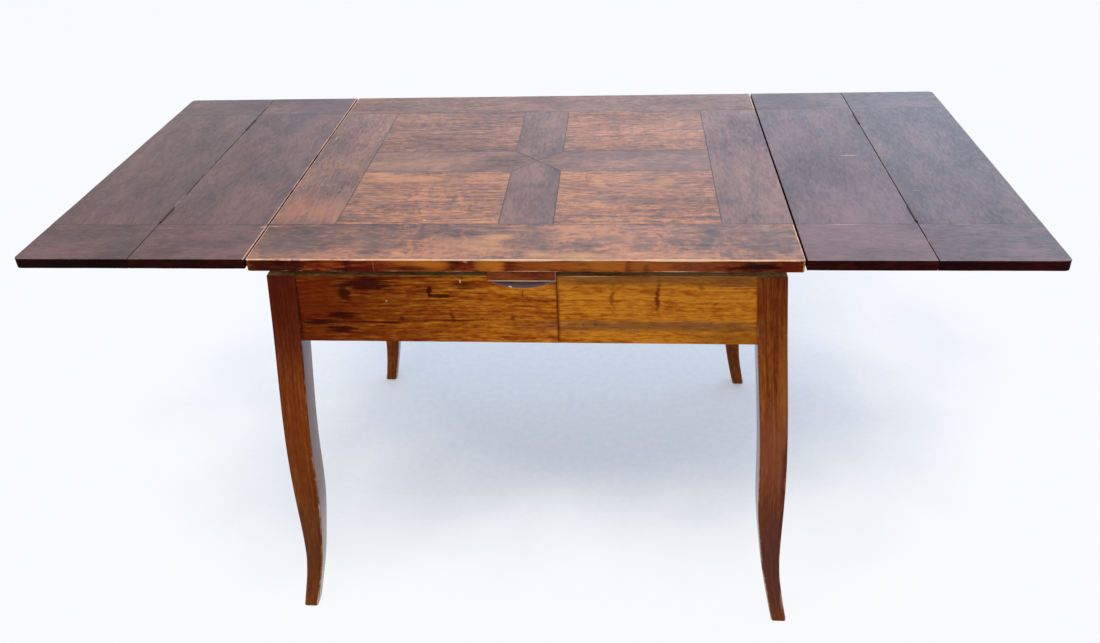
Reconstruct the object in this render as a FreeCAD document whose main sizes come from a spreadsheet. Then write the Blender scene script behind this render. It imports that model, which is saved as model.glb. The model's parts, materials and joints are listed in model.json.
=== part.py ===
import FreeCAD, Part
import math
import os
import re
import Sketcher

# A draw-leaf dining table. A framed and panelled top lies loose on a cross batten, which drops into
# notches in the two long aprons. Each end has a leaf in two halves, hinged together along the middle, and
# two sloping lopers carry it level with the top. Millimetres; X runs along the table, Y from front to
# back and Z up; the origin is on the floor under the middle of the top.

SIZES = {
    # the top
    "table_height": 760,
    "top_length": 840,
    "top_depth": 690,
    "top_thick": 21,
    "front_rail": 112,
    "rear_rail": 92,
    "stile": 110,
    "centre_rail": 88,
    "mullion": 88,
    "top_corner": 4,
    "panel_gap": 0.4,
    "tongue_long": 7,
    "tongue_thick": 6,
    "groove_play": 0.15,
    "groove_stop": 24,
    # the leaves
    "leaf_thick": 17,
    "half_width": 185,
    "seam_gap": 1,
    "leaf_gap": 2.5,
    "leaf_corner": 9,
    "leaf_tongue": 5,
    "leaf_groove_stop": 16,
    "stow_clearance": 1,
    "stow_proud": 5,
    "rest_gap": 0.2,
    # the frame
    "bay_height": 20,
    "end_overhang": 19,
    "front_overhang": 20,
    "apron_height": 125,
    "apron_thick": 22,
    "apron_recess": 1.5,
    "butt_gap": 0.3,
    "tenon_thick": 9,
    "tenon_long": 25,
    "tenon_low": 12,
    "tenon_haunch": 26,
    "tenon_play": 0.15,
    # the cross batten, its bearer and pegs
    "batten_width": 106,
    "batten_notch": 10,
    "batten_play": 0.4,
    "recess_width": 100,
    "recess_depth": 12,
    "bearer_width": 90,
    "bearer_housing": 6,
    "peg_radius": 7,
    "peg_play": 0.4,
    "peg_station": 100,
    "peg_below": 36,
    # the lopers
    "loper_width": 24,
    "bar_depth": 28,
    "loper_sink": 7,
    "loper_play": 0.5,
    "bearer_play": 0.7,
    "inner_lane": 140,
    "lane_step": 40,
    "tail_reach": 10,
    "tip_setback": 55,
    "tip_bevel": 30,
    "tip_face": 16,
    "shoulder_gap": 2,
    "guide_width": 14,
    "guide_depth": 24,
    "stop_length": 20,
    "stop_depth": 12,
    "draw_slack": 8.5,
    # blocks and bolts in the corners, and the block behind the butt joint
    "block_near": 60,
    "block_far": 100,
    "block_height": 55,
    "block_up": 10,
    "bolt_radius": 4,
    "bolt_play": 0.15,
    "bolt_into_leg": 3,
    "bolt_proud": 16,
    "nut_radius": 7.5,
    "nut_thick": 6.5,
    "splice_length": 120,
    "splice_height": 74,
    "splice_thick": 20,
    # the fold hinges
    "hinge_inset": 33,
    "hinge_length": 50,
    "hinge_knuckle": 15,
    "knuckle_gap": 0.3,
    "knuckle_radius": 1.6,
    "knuckle_room": 0.4,
    "pin_radius": 0.8,
    "pin_play": 0.05,
    "pivot_rise": 0.3,
    "plate_thick": 1,
    "plate_height": 13,
    "plate_screw_pitch": 30,
    # screws
    "screw_radius": 2,
    "screw_play": 0.1,
    "head_radius": 4,
    "head_height": 2.5,
    "top_grip": 12,
    "batten_screw_body": 17,
    "batten_screw_side": 20,
    "batten_screw_inset": 60,
    "leaf_grip": 11,
    "loper_screw_body": 20,
    "loper_screw_near": 50,
    "loper_screw_far": 130,
    "small_screw_radius": 1.5,
    "small_screw_long": 14,
    "small_head_radius": 2.8,
    # the legs: height of each section above the floor, its width and how far it stands out
    "leg_top_width": 46,
    "hip_up": 600,
    "hip_width": 46,
    "hip_out": 8.5,
    "thigh_up": 480,
    "thigh_width": 45.5,
    "thigh_out": 18,
    "knee_up": 360,
    "knee_width": 45,
    "knee_out": 25.5,
    "calf_up": 240,
    "calf_width": 42,
    "calf_out": 28.5,
    "shin_up": 165,
    "shin_width": 34.5,
    "shin_out": 29.5,
    "ankle_up": 110,
    "ankle_width": 30,
    "ankle_out": 32.5,
    "toe_up": 55,
    "toe_width": 27.5,
    "toe_out": 40.5,
    "foot_width": 26.5,
    "foot_out": 51,
    "leg_side_lean": 16,
}

doc = FreeCAD.newDocument("draw_leaf_table")
sheet = doc.addObject("Spreadsheet::Sheet", "Sizes")
for line, (alias, number) in enumerate(SIZES.items(), start=1):
    sheet.set(f"A{line}", alias)
    sheet.set(f"B{line}", str(number))
    sheet.setAlias(f"B{line}", alias)
doc.recompute()

# ---- places worked out from the sizes, as expression text

HALF_LENGTH = "(top_length / 2)"
HALF_DEPTH = "(top_depth / 2)"
TOP_UNDER = "(table_height - top_thick)"
FRAME_TOP = f"({TOP_UNDER} - bay_height)"
APRON_LOW = f"({FRAME_TOP} - apron_height)"
LEG_X = f"({HALF_LENGTH} - end_overhang)"
LEG_Y = f"({HALF_DEPTH} - front_overhang)"
END_OUT = f"({LEG_X} - apron_recess)"
END_IN = f"({END_OUT} - apron_thick)"
LONG_OUT = f"({LEG_Y} - apron_recess)"
LONG_IN = f"({LONG_OUT} - apron_thick)"
RAIL_FRONT = f"(front_rail - {HALF_DEPTH})"
RAIL_REAR = f"({HALF_DEPTH} - rear_rail)"
FIELD = (RAIL_FRONT, RAIL_REAR)
FIELD_MID = f"(({RAIL_FRONT} + {RAIL_REAR}) / 2)"
FIELD_END = f"({HALF_LENGTH} - stile)"
LEAF_UNDER = "(table_height - leaf_thick)"
LEAF_IN = f"({HALF_LENGTH} + leaf_gap)"
SEAM_IN = f"({LEAF_IN} + half_width)"
SEAM_MID = f"({SEAM_IN} + seam_gap / 2)"
SEAM_OUT = f"({SEAM_IN} + seam_gap)"
LEAF_OUT = f"({SEAM_OUT} + half_width)"
NOTCH_LOW = f"({FRAME_TOP} - batten_notch)"
NOTCH_END = "(batten_width / 2 + batten_play)"

# Pushed in, a leaf stops a little proud of the top's end and has gone down by the top's thickness.
STOW_TRAVEL = f"({LEAF_OUT} - {HALF_LENGTH} - stow_proud)"
SLOPE = f"((top_thick + stow_clearance) / {STOW_TRAVEL})"


def bar_top(x):
    """Height of the sloping line that a loper's tail slides along, at a distance x from the middle."""
    return f"({FRAME_TOP} - loper_sink + {SLOPE} * ({x} - {HALF_LENGTH}))"


def bar_low(x):
    """Height of a loper's sloping underside, at a distance x from the middle."""
    return f"({bar_top(x)} - bar_depth)"


BEARER_LOW = f"({bar_top('bearer_width / 2')} + bearer_play)"

SIDES = {"left": -1, "right": 1}
ROWS = {"front": -1, "rear": 1}
CORNERS = {f"{row}_{side}": (SIDES[side], ROWS[row]) for row in ROWS for side in SIDES}
INNER_LANE = "inner_lane"
OUTER_LANE = "(inner_lane + lane_step)"
LANES = {"left": OUTER_LANE, "right": INNER_LANE}

# ---- helpers


def size(text):
    """The same expression with the sheet's name in front of each of its aliases."""
    return re.sub(r"[a-z]\w*", lambda word: "Sizes." * (word.group() in SIZES) + word.group(), text)


def mirrored(pair, side):
    """A low and high end, or the same stretch on the other side of zero."""
    low, high = pair
    return (low, high) if side > 0 else (f"-({high})", f"-({low})")


def around(middle, half):
    """A stretch that reaches half each way from its middle."""
    return f"{middle} - {half}", f"{middle} + {half}"


def grown(pair, play):
    """A stretch with play added at both ends."""
    low, high = pair
    return f"{low} - {play}", f"{high} + {play}"


def place(solid, x, y, z):
    """Bind where a solid stands."""
    for axis, text in zip("xyz", (x, y, z)):
        solid.setExpression(f"Placement.Base.{axis}", size(text))


def box(name, x, y, z):
    """A block between a low and a high end on each axis."""
    solid = doc.addObject("Part::Box", name)
    for length, (low, high) in zip(("Length", "Width", "Height"), (x, y, z)):
        solid.setExpression(length, size(f"({high}) - ({low})"))
    place(solid, x[0], y[0], z[0])
    return solid


TURNS = {
    "+x": FreeCAD.Rotation(FreeCAD.Vector(0, 1, 0), 90),
    "-x": FreeCAD.Rotation(FreeCAD.Vector(0, 1, 0), -90),
    "+y": FreeCAD.Rotation(FreeCAD.Vector(1, 0, 0), -90),
    "+z": FreeCAD.Rotation(),
}


def rod(name, start, turn, length, radius):
    """A cylinder from a start point along the way that it is turned."""
    solid = doc.addObject("Part::Cylinder", name)
    solid.Placement = FreeCAD.Placement(FreeCAD.Vector(), turn)
    solid.setExpression("Height", size(length))
    solid.setExpression("Radius", size(radius))
    place(solid, *start)
    return solid


def cone(name, start, turn, length, radius, far_radius):
    """A cone from a start point along the way that it is turned, from one radius to another."""
    solid = doc.addObject("Part::Cone", name)
    solid.Placement = FreeCAD.Placement(FreeCAD.Vector(), turn)
    solid.setExpression("Height", size(length))
    solid.setExpression("Radius1", size(radius))
    solid.setExpression("Radius2", size(far_radius))
    place(solid, *start)
    return solid


def join(name, solids):
    """One solid out of several that touch."""
    fused = doc.addObject("Part::MultiFuse", name)
    fused.Shapes = solids
    return fused


def common(name, solids):
    """What several solids share."""
    shared = doc.addObject("Part::MultiCommon", name)
    shared.Shapes = solids
    return shared


def cut(name, base, tools):
    """The base without its tools."""
    for number, tool in enumerate(tools):
        result = doc.addObject("Part::Cut", f"{name}_cut{number}")
        result.Base = base
        result.Tool = tool
        base = result
    return base


def group(name, solids):
    """Separate solids of one kind that share a node."""
    together = doc.addObject("Part::Compound", name)
    together.Links = solids
    return together


def outline(body, name, plane, points):
    """A closed sketch on one of the body's planes, with each corner bound to its place."""
    sketch = body.newObject("Sketcher::SketchObject", name)
    origin = [feature for feature in body.Origin.OriginFeatures if feature.Role == plane]
    sketch.AttachmentSupport = [(origin[0], "")]
    sketch.MapMode = "FlatFace"
    count = len(points)
    turns = [2 * math.pi * number / count for number in range(count)]
    ring = [FreeCAD.Vector(math.cos(turn), math.sin(turn), 0) * 100 for turn in turns]
    for number in range(count):
        sketch.addGeometry(Part.LineSegment(ring[number], ring[(number + 1) % count]))
    for number in range(count):
        sketch.addConstraint(Sketcher.Constraint("Coincident", number, 2, (number + 1) % count, 1))
    for number, point in enumerate(points):
        for kind, start, text in zip(("DistanceX", "DistanceY"), ring[number], point):
            index = sketch.addConstraint(Sketcher.Constraint(kind, -1, 1, number, 1, start))
            sketch.setExpression(f"Constraints[{index}]", size(text))
    return sketch


def prism(name, plane, points, thick, middle):
    """A drawn outline with an even thickness about a middle plane."""
    body = doc.addObject("PartDesign::Body", name)
    pad = body.newObject("PartDesign::Pad", name + "_pad")
    pad.Profile = outline(body, name + "_outline", plane, points)
    pad.SideType = "Symmetric"
    pad.setExpression("Length", size(thick))
    body.Tip = pad
    axis = {"XY_Plane": "z", "XZ_Plane": "y"}[plane]
    body.setExpression(f"Placement.Base.{axis}", size(middle))
    return body


def rounded(name, base, corners, radius):
    """The base with some of its box's upright edges rounded. A corner is a pair of signs."""
    doc.recompute()
    room = base.Shape.BoundBox
    places = [(room.XMax if x > 0 else room.XMin, room.YMax if y > 0 else room.YMin) for x, y in corners]
    picked = []
    for number, edge in enumerate(base.Shape.Edges, start=1):
        span = edge.BoundBox
        middle = edge.CenterOfMass
        upright = abs(span.ZLength - room.ZLength) < 0.01
        if upright and any(math.hypot(middle.x - x, middle.y - y) < 0.01 for x, y in places):
            picked.append((number, radius, radius))
    fillet = doc.addObject("Part::Fillet", name)
    fillet.Base = base
    fillet.Edges = picked
    return fillet


nodes = {}


def keep(node, solid):
    """Name a finished piece after its node."""
    solid.Label = node
    nodes[node] = solid
    return solid


# ---- legs: square sections that lean outwards, narrow at the shin and turn out at the foot

SECTIONS = (
    (FRAME_TOP, "leg_top_width", "0"),
    ("hip_up", "hip_width", "hip_out"),
    ("thigh_up", "thigh_width", "thigh_out"),
    ("knee_up", "knee_width", "knee_out"),
    ("calf_up", "calf_width", "calf_out"),
    ("shin_up", "shin_width", "shin_out"),
    ("ankle_up", "ankle_width", "ankle_out"),
    ("toe_up", "toe_width", "toe_out"),
    ("0", "foot_width", "foot_out"),
)


def leg_blank(name, side, row):
    """A leg lofted through its sections. It stands out less to the front and back than to the ends."""
    body = doc.addObject("PartDesign::Body", name)
    sketches = []
    for number, (up, width, out) in enumerate(SECTIONS):
        x_out = f"({LEG_X} + {out})"
        y_out = f"({LEG_Y} + {out} * (foot_out - leg_side_lean) / foot_out)"
        x_low, x_high = mirrored((f"{x_out} - {width}", x_out), side)
        y_low, y_high = mirrored((f"{y_out} - {width}", y_out), row)
        corners = ((x_low, y_low), (x_high, y_low), (x_high, y_high), (x_low, y_high))
        sketch = outline(body, f"{name}_section{number}", "XY_Plane", corners)
        sketch.setExpression("AttachmentOffset.Base.z", size(up))
        sketches.append(sketch)
    loft = body.newObject("PartDesign::AdditiveLoft", name + "_loft")
    loft.Profile = sketches[0]
    loft.Sections = sketches[1:]
    body.Tip = loft
    return body


blanks = {corner: leg_blank(f"blank_{corner}", *signs) for corner, signs in CORNERS.items()}

# ---- tenons, the corner blocks and the hanger bolts that draw them to the legs

TENON_UP = (f"{APRON_LOW} + tenon_low", f"{FRAME_TOP} - tenon_haunch")
LEG_IN_X = f"({LEG_X} - leg_top_width)"
LEG_IN_Y = f"({LEG_Y} - leg_top_width)"
LONG_MID = f"({LONG_OUT} - apron_thick / 2)"
END_MID = f"({END_OUT} - apron_thick / 2)"
BLOCK_UP = f"({APRON_LOW} + block_up + block_height / 2)"


def tenon(name, side, row, along, play="0"):
    """The tenon of a long apron (along x) or an end apron (along y), or its mortise when it has play."""
    thick = f"(tenon_thick / 2 + {play})"
    if along == "x":
        x = (f"{LEG_IN_X} - apron_thick / 2", f"{LEG_IN_X} + tenon_long + {play}")
        y = around(LONG_MID, thick)
    else:
        x = around(END_MID, thick)
        y = (f"{LEG_IN_Y} - apron_thick / 2", f"{LEG_IN_Y} + tenon_long + {play}")
    return box(name, mirrored(x, side), mirrored(y, row), grown(TENON_UP, play))


def inward(side, row):
    """The turn that points a rod level along a corner's diagonal, towards the middle of the table."""
    return FreeCAD.Rotation(FreeCAD.Vector(0, 0, 1), FreeCAD.Vector(-side, -row, 0))


def on_diagonal(side, row, distance):
    """A point at a distance in from the aprons' inner corner, along its diagonal."""
    step = f"({distance}) * sqrt(0.5)"
    return f"{side} * ({END_IN} - {step})", f"{row} * ({LONG_IN} - {step})", BLOCK_UP


def corner_block(name, side, row):
    """A brace across the corner between the two aprons."""
    cuts = (("block_near", "0"), ("block_far", "0"), ("0", "block_far"), ("0", "block_near"))
    points = [(f"{side} * ({END_IN} - {x})", f"{row} * ({LONG_IN} - {y})") for x, y in cuts]
    return prism(name, "XY_Plane", points, "block_height", BLOCK_UP)


def bolt(name, side, row, play="0"):
    """The hanger bolt through a corner block, or its hole when it has play."""
    start = on_diagonal(side, row, f"-bolt_into_leg - {play}")
    reach = f"bolt_into_leg + {play} + block_far * sqrt(0.5) + bolt_proud"
    return rod(name, start, inward(side, row), reach, f"bolt_radius + {play}")


def nut(name, side, row):
    """The hexagon nut on the inner face of a corner block, bored for its bolt."""
    hexagon = doc.addObject("Part::Prism", name + "_hexagon")
    hexagon.Polygon = 6
    hexagon.Placement = FreeCAD.Placement(FreeCAD.Vector(), inward(side, row))
    hexagon.setExpression("Circumradius", size("nut_radius"))
    hexagon.setExpression("Height", size("nut_thick"))
    place(hexagon, *on_diagonal(side, row, "block_far * sqrt(0.5)"))
    return cut(name, hexagon, [bolt(name + "_bore", side, row, "bolt_play")])


bolts = []
for corner, (side, row) in CORNERS.items():
    mortises = [tenon(f"mortise_{along}_{corner}", side, row, along, "tenon_play") for along in "xy"]
    hole = bolt(f"bolt_hole_{corner}", side, row, "bolt_play")
    keep(f"leg_{corner}", cut(f"leg_{corner}", blanks[corner], [*mortises, hole]))
    block = corner_block(f"block_{corner}", side, row)
    keep(f"corner_block_{corner}", cut(f"block_{corner}", block, [hole]))
    bolts += [bolt(f"bolt_{corner}", side, row), nut(f"nut_{corner}", side, row)]
keep("corner_bolts", group("corner_bolts", bolts))

# ---- long aprons: the front one is two boards that butt beside the batten

LEG_MID_X = f"({LEG_X} - leg_top_width / 2)"
LEG_MID_Y = f"({LEG_Y} - leg_top_width / 2)"


def batten_notch(row):
    """The notch that a batten end drops into."""
    y = mirrored((f"{LONG_IN} - apron_thick", f"{LONG_OUT} + apron_thick"), ROWS[row])
    return box(f"{row}_notch", around("0", NOTCH_END), y, (NOTCH_LOW, f"{FRAME_TOP} + batten_notch"))


def bearer_housing(row):
    """The shallow housing that takes an end of the bearer."""
    y = mirrored((f"{LONG_IN} - bearer_housing", f"{LONG_IN} + bearer_housing"), ROWS[row])
    return box(f"{row}_housing", around("0", "bearer_width / 2"), y, (BEARER_LOW, NOTCH_LOW))


def finger_recess():
    """The shallow arc under the front end of the batten, to lift the top by."""
    radius = "((recess_width ^ 2 / 4 + recess_depth ^ 2) / (2 * recess_depth))"
    near = f"-{LONG_OUT} - apron_thick"
    through = "3 * apron_thick"
    middle = ("0", near, f"{NOTCH_LOW} - recess_depth + {radius}")
    disc = rod("recess_disc", middle, TURNS["+y"], through, radius)
    low = (f"{NOTCH_LOW} - 2 * recess_depth", NOTCH_LOW)
    below = box("recess_below", around("0", "recess_width"), (near, f"{near} + {through}"), low)
    return common("finger_recess", [disc, below])


def long_apron(node, row, x, ends, tools):
    """A long apron, trimmed to the legs at the ends that it has and tenoned into them."""
    board = box(f"{node}_board", x, mirrored((LONG_IN, LONG_OUT), ROWS[row]), (APRON_LOW, FRAME_TOP))
    legs = [blanks[f"{row}_{side}"] for side in ends]
    tenons = [tenon(f"{node}_tenon_{side}", SIDES[side], ROWS[row], "x") for side in ends]
    keep(node, join(f"{node}_tenoned", [cut(node, board, [*legs, *tools]), *tenons]))


front_tools = [batten_notch("front"), bearer_housing("front"), finger_recess()]
long_apron("apron_front_left", "front", (f"-{LEG_MID_X}", NOTCH_END), ["left"], front_tools)
long_apron("apron_front_right", "front", (f"{NOTCH_END} + butt_gap", LEG_MID_X), ["right"], [])
rear_tools = [batten_notch("rear"), bearer_housing("rear")]
long_apron("apron_rear", "rear", (f"-{LEG_MID_X}", LEG_MID_X), ["left", "right"], rear_tools)

keep(
    "splice_block",
    box(
        "splice",
        around(NOTCH_END, "splice_length / 2"),
        (f"-{LONG_IN}", f"-{LONG_IN} + splice_thick"),
        (f"{APRON_LOW} + block_up", f"{APRON_LOW} + block_up + splice_height"),
    ),
)

# ---- end aprons, each with two open notches that the lopers slide through

LOPER_ROOM = "(loper_width / 2 + loper_play)"


def loper_notch(name, side, row):
    """The open notch in an end apron for one loper."""
    x = mirrored((f"{END_IN} - apron_thick", f"{END_OUT} + apron_thick"), SIDES[side])
    y = around(f"{ROWS[row]} * {LANES[side]}", LOPER_ROOM)
    return box(name, x, y, (f"{bar_low(END_IN)} - loper_play", f"{FRAME_TOP} + bay_height"))


def end_apron(side):
    """An end apron, trimmed to its two legs and tenoned into them."""
    node = f"apron_end_{side}"
    x = mirrored((END_IN, END_OUT), SIDES[side])
    board = box(f"{node}_board", x, around("0", LEG_MID_Y), (APRON_LOW, FRAME_TOP))
    legs = [blanks[f"{row}_{side}"] for row in ROWS]
    notches = [loper_notch(f"{node}_notch_{row}", side, row) for row in ROWS]
    tenons = [tenon(f"{node}_tenon_{row}", SIDES[side], ROWS[row], "y") for row in ROWS]
    keep(node, join(f"{node}_tenoned", [cut(node, board, [*legs, *notches]), *tenons]))


for side in SIDES:
    end_apron(side)

# ---- the bearer across the frame, which holds the lopers' tails down, and the guides under it


def peg(name, row, play="0"):
    """A peg that stands down from the batten, or its bore in the bearer when it has play."""
    start = ("0", f"{ROWS[row]} * peg_station", f"{NOTCH_LOW} - peg_below")
    return rod(name, start, TURNS["+z"], f"{TOP_UNDER} - {NOTCH_LOW} + peg_below", f"peg_radius + {play}")


BEARER_X = around("0", "bearer_width / 2")
bearer = box("bearer", BEARER_X, around("0", f"({LONG_IN} + bearer_housing)"), (BEARER_LOW, NOTCH_LOW))
keep("centre_bearer", cut("bearer", bearer, [peg(f"peg_bore_{row}", row, "peg_play") for row in ROWS]))

GUIDE_SPANS = (
    (f"{INNER_LANE} - {LOPER_ROOM} - guide_width", f"{INNER_LANE} - {LOPER_ROOM}"),
    (f"{INNER_LANE} + {LOPER_ROOM}", f"{OUTER_LANE} - {LOPER_ROOM}"),
    (f"{OUTER_LANE} + {LOPER_ROOM}", f"{OUTER_LANE} + {LOPER_ROOM} + guide_width"),
)
guides = []
for row, sign in ROWS.items():
    for number, span in enumerate(GUIDE_SPANS):
        up = (f"{BEARER_LOW} - guide_depth", BEARER_LOW)
        guides.append(box(f"guide_{row}{number}", BEARER_X, mirrored(span, sign), up))
keep("loper_guides", group("loper_guides", guides))

# ---- screws driven up from below, and small ones driven level into an edge


def screw_up(name, x, y, seat, grip):
    """A countersunk screw that points up, from the seat of its head to a length above that."""
    low = f"{seat} - head_height"
    head = cone(f"{name}_head", (x, y, low), TURNS["+z"], "head_height", "head_radius", "screw_radius")
    return join(name, [head, rod(f"{name}_shank", (x, y, seat), TURNS["+z"], grip, "screw_radius")])


def counterbore(name, x, y, seat, below):
    """The hole that a screw's head went up through."""
    start = (x, y, f"{seat} - head_height - {below}")
    return rod(name, start, TURNS["+z"], below, "head_radius + screw_play")


# ---- the batten under the top, with its pegs and screws

BATTEN_UP = (f"{NOTCH_LOW} + rest_gap", TOP_UNDER)
BATTEN_SEAT = f"({TOP_UNDER} - batten_screw_body)"
BATTEN_SCREW_Y = f"({HALF_DEPTH} - batten_screw_inset)"

batten_screws = {row: [] for row in ROWS}
counterbores = []
for corner, (side, sign) in CORNERS.items():
    spot = (f"{side} * batten_screw_side", f"{sign} * {BATTEN_SCREW_Y}")
    screw = screw_up(f"batten_screw_{corner}", *spot, BATTEN_SEAT, "batten_screw_body + top_grip")
    batten_screws[corner.split("_")[0]].append(screw)
    counterbores.append(counterbore(f"batten_bore_{corner}", *spot, BATTEN_SEAT, "batten_screw_body"))
all_batten_screws = batten_screws["front"] + batten_screws["rear"]
keep("batten_screws", group("batten_screws", all_batten_screws))

pegs = [peg(f"peg_{row}", row) for row in ROWS]
keep("top_pegs", group("top_pegs", pegs))

batten = box("batten", around("0", "batten_width / 2"), around("0", LONG_OUT), BATTEN_UP)
keep("top_batten", cut("batten", batten, pegs + all_batten_screws + counterbores))

# ---- the top: rails, stiles, four pointed bars and four panels, tongued and grooved together

TOP_UP = (TOP_UNDER, "table_height")
TOP_MID = f"({TOP_UNDER} + top_thick / 2)"
TONGUE_UP = around(TOP_MID, "tongue_thick / 2")
GROOVE_UP = around(TOP_MID, "(tongue_thick / 2 + groove_play)")
GROOVE_DEEP = "(tongue_long + 2 * groove_play)"
HALF_BAR = "(mullion / 2)"
BAR_FRONT = f"({FIELD_MID} - centre_rail / 2)"
BAR_REAR = f"({FIELD_MID} + centre_rail / 2)"
RAIL_SPANS = {"front": (f"-{HALF_DEPTH}", RAIL_FRONT), "rear": (RAIL_REAR, HALF_DEPTH)}
RAIL_EDGES = dict(zip(ROWS, FIELD))
BAR_EDGES = {"front": BAR_FRONT, "rear": BAR_REAR}


def member(node, base, tongues=(), grooves=()):
    """A piece of a framed board, with its tongues added and its grooves cut."""
    solid = cut(node, base, grooves)
    keep(node, join(f"{node}_tongued", [solid, *tongues]) if tongues else solid)


def beyond(edge, row, reach):
    """The stretch along Y from a rail's inner edge into that rail."""
    return (f"{edge} - {reach}", edge) if row == "front" else (edge, f"{edge} + {reach}")


def towards_middle(edge, row, reach):
    """The stretch along Y from an edge back towards the middle of the top."""
    return (edge, f"{edge} + {reach}") if row == "front" else (f"{edge} - {reach}", edge)


for row, span in RAIL_SPANS.items():
    node = f"top_{row}_rail"
    blank = box(f"{node}_blank", around("0", HALF_LENGTH), span, TOP_UP)
    blank = rounded(f"{node}_round", blank, [(side, ROWS[row]) for side in SIDES.values()], SIZES["top_corner"])
    run = around("0", f"({HALF_LENGTH} - groove_stop)")
    groove = box(f"{node}_groove", run, beyond(RAIL_EDGES[row], row, GROOVE_DEEP), GROOVE_UP)
    member(node, blank, grooves=[groove, *batten_screws[row]])

for side, sign in SIDES.items():
    node = f"top_{side}_stile"
    blank = box(f"{node}_blank", mirrored((FIELD_END, HALF_LENGTH), sign), FIELD, TOP_UP)
    tongue_x = mirrored((f"{FIELD_END} + {GROOVE_DEEP}", f"{HALF_LENGTH} - groove_stop - groove_play"), sign)
    tongues = [
        box(f"{node}_tongue_{row}", tongue_x, beyond(RAIL_EDGES[row], row, "tongue_long"), TONGUE_UP)
        for row in ROWS
    ]
    groove_x = mirrored((FIELD_END, f"{FIELD_END} + {GROOVE_DEEP}"), sign)
    member(node, blank, tongues, [box(f"{node}_groove", groove_x, FIELD, GROOVE_UP)])

for row in ROWS:
    node = f"top_mullion_{row}"
    edge, near = RAIL_EDGES[row], BAR_EDGES[row]
    points = ((f"-{HALF_BAR}", edge), (HALF_BAR, edge), (HALF_BAR, near), ("0", FIELD_MID), (f"-{HALF_BAR}", near))
    blank = prism(f"{node}_blank", "XY_Plane", points, "top_thick", TOP_MID)
    web = around("0", f"({HALF_BAR} - {GROOVE_DEEP})")
    tongue = box(f"{node}_tongue", web, beyond(edge, row, "tongue_long"), TONGUE_UP)
    groove_x = (f"{HALF_BAR} - {GROOVE_DEEP}", HALF_BAR)
    grooves = [
        box(f"{node}_groove_{side}", mirrored(groove_x, sign), FIELD, GROOVE_UP)
        for side, sign in SIDES.items()
    ]
    member(node, blank, [tongue], grooves)

for side, sign in SIDES.items():
    node = f"top_centre_rail_{side}"
    square = ((FIELD_END, BAR_FRONT), (FIELD_END, BAR_REAR))
    point = ((HALF_BAR, BAR_REAR), ("0", FIELD_MID), (HALF_BAR, BAR_FRONT))
    points = [(f"{sign} * {x}", y) for x, y in square + point]
    blank = prism(f"{node}_blank", "XY_Plane", points, "top_thick", TOP_MID)
    tongue_x = mirrored((FIELD_END, f"{FIELD_END} + tongue_long"), sign)
    web = (f"{BAR_FRONT} + {GROOVE_DEEP}", f"{BAR_REAR} - {GROOVE_DEEP}")
    tongue = box(f"{node}_tongue", tongue_x, web, TONGUE_UP)
    run = mirrored(("0", FIELD_END), sign)
    grooves = [
        box(f"{node}_groove_{row}", run, towards_middle(edge, row, GROOVE_DEEP), GROOVE_UP)
        for row, edge in BAR_EDGES.items()
    ]
    member(node, blank, [tongue], grooves)

PANEL_SPANS = {"front": (RAIL_FRONT, BAR_FRONT), "rear": (BAR_REAR, RAIL_REAR)}
for row, (low, high) in PANEL_SPANS.items():
    for side, sign in SIDES.items():
        node = f"top_panel_{row}_{side}"
        x = mirrored((f"{HALF_BAR} + panel_gap", f"{FIELD_END} - panel_gap"), sign)
        y = (f"{low} + panel_gap", f"{high} - panel_gap")
        tongue = box(f"{node}_tongue", grown(x, "tongue_long"), grown(y, "tongue_long"), TONGUE_UP)
        member(node, box(f"{node}_blank", x, y, TOP_UP), [tongue])

# ---- the fold hinges: a plate let into each mating edge, with knuckles on a line just above the surface

PIVOT_UP = "(table_height + pivot_rise)"
PLATE_TOP = f"({PIVOT_UP} - knuckle_radius - knuckle_room)"
PLATE_UP = (f"{PLATE_TOP} - plate_height", PLATE_TOP)
PLATE_MID = f"({PLATE_TOP} - plate_height / 2)"
PLATE_X = {
    "inner": (f"{SEAM_IN} - plate_thick", SEAM_IN),
    "outer": (SEAM_OUT, f"{SEAM_OUT} + plate_thick"),
}
HALF_HINGE = "(hinge_length / 2)"
HINGE_Y = f"({HALF_DEPTH} - front_rail - hinge_inset)"
MID_KNUCKLE = f"({HALF_HINGE} - hinge_knuckle - knuckle_gap)"
KNUCKLE_SPANS = {
    "inner": ((f"-{HALF_HINGE}", f"hinge_knuckle - {HALF_HINGE}"), (f"{HALF_HINGE} - hinge_knuckle", HALF_HINGE)),
    "outer": ((f"-{MID_KNUCKLE}", MID_KNUCKLE),),
}


def station(row, offset="0"):
    """A place along Y, counted from the middle of the front or rear hinge."""
    return f"({ROWS[row]} * {HINGE_Y} + {offset})"


def on_pivot(name, side, row, span, radius):
    """A rod on the fold's axis."""
    start = (f"{SIDES[side]} * {SEAM_MID}", station(row, span[0]), PIVOT_UP)
    return rod(name, start, TURNS["+y"], f"({span[1]}) - ({span[0]})", radius)


def flat_plate(name, side, half, row):
    """The plain part of a hinge plate, below the knuckles."""
    return box(name, mirrored(PLATE_X[half], SIDES[side]), around(station(row), HALF_HINGE), PLATE_UP)


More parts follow.
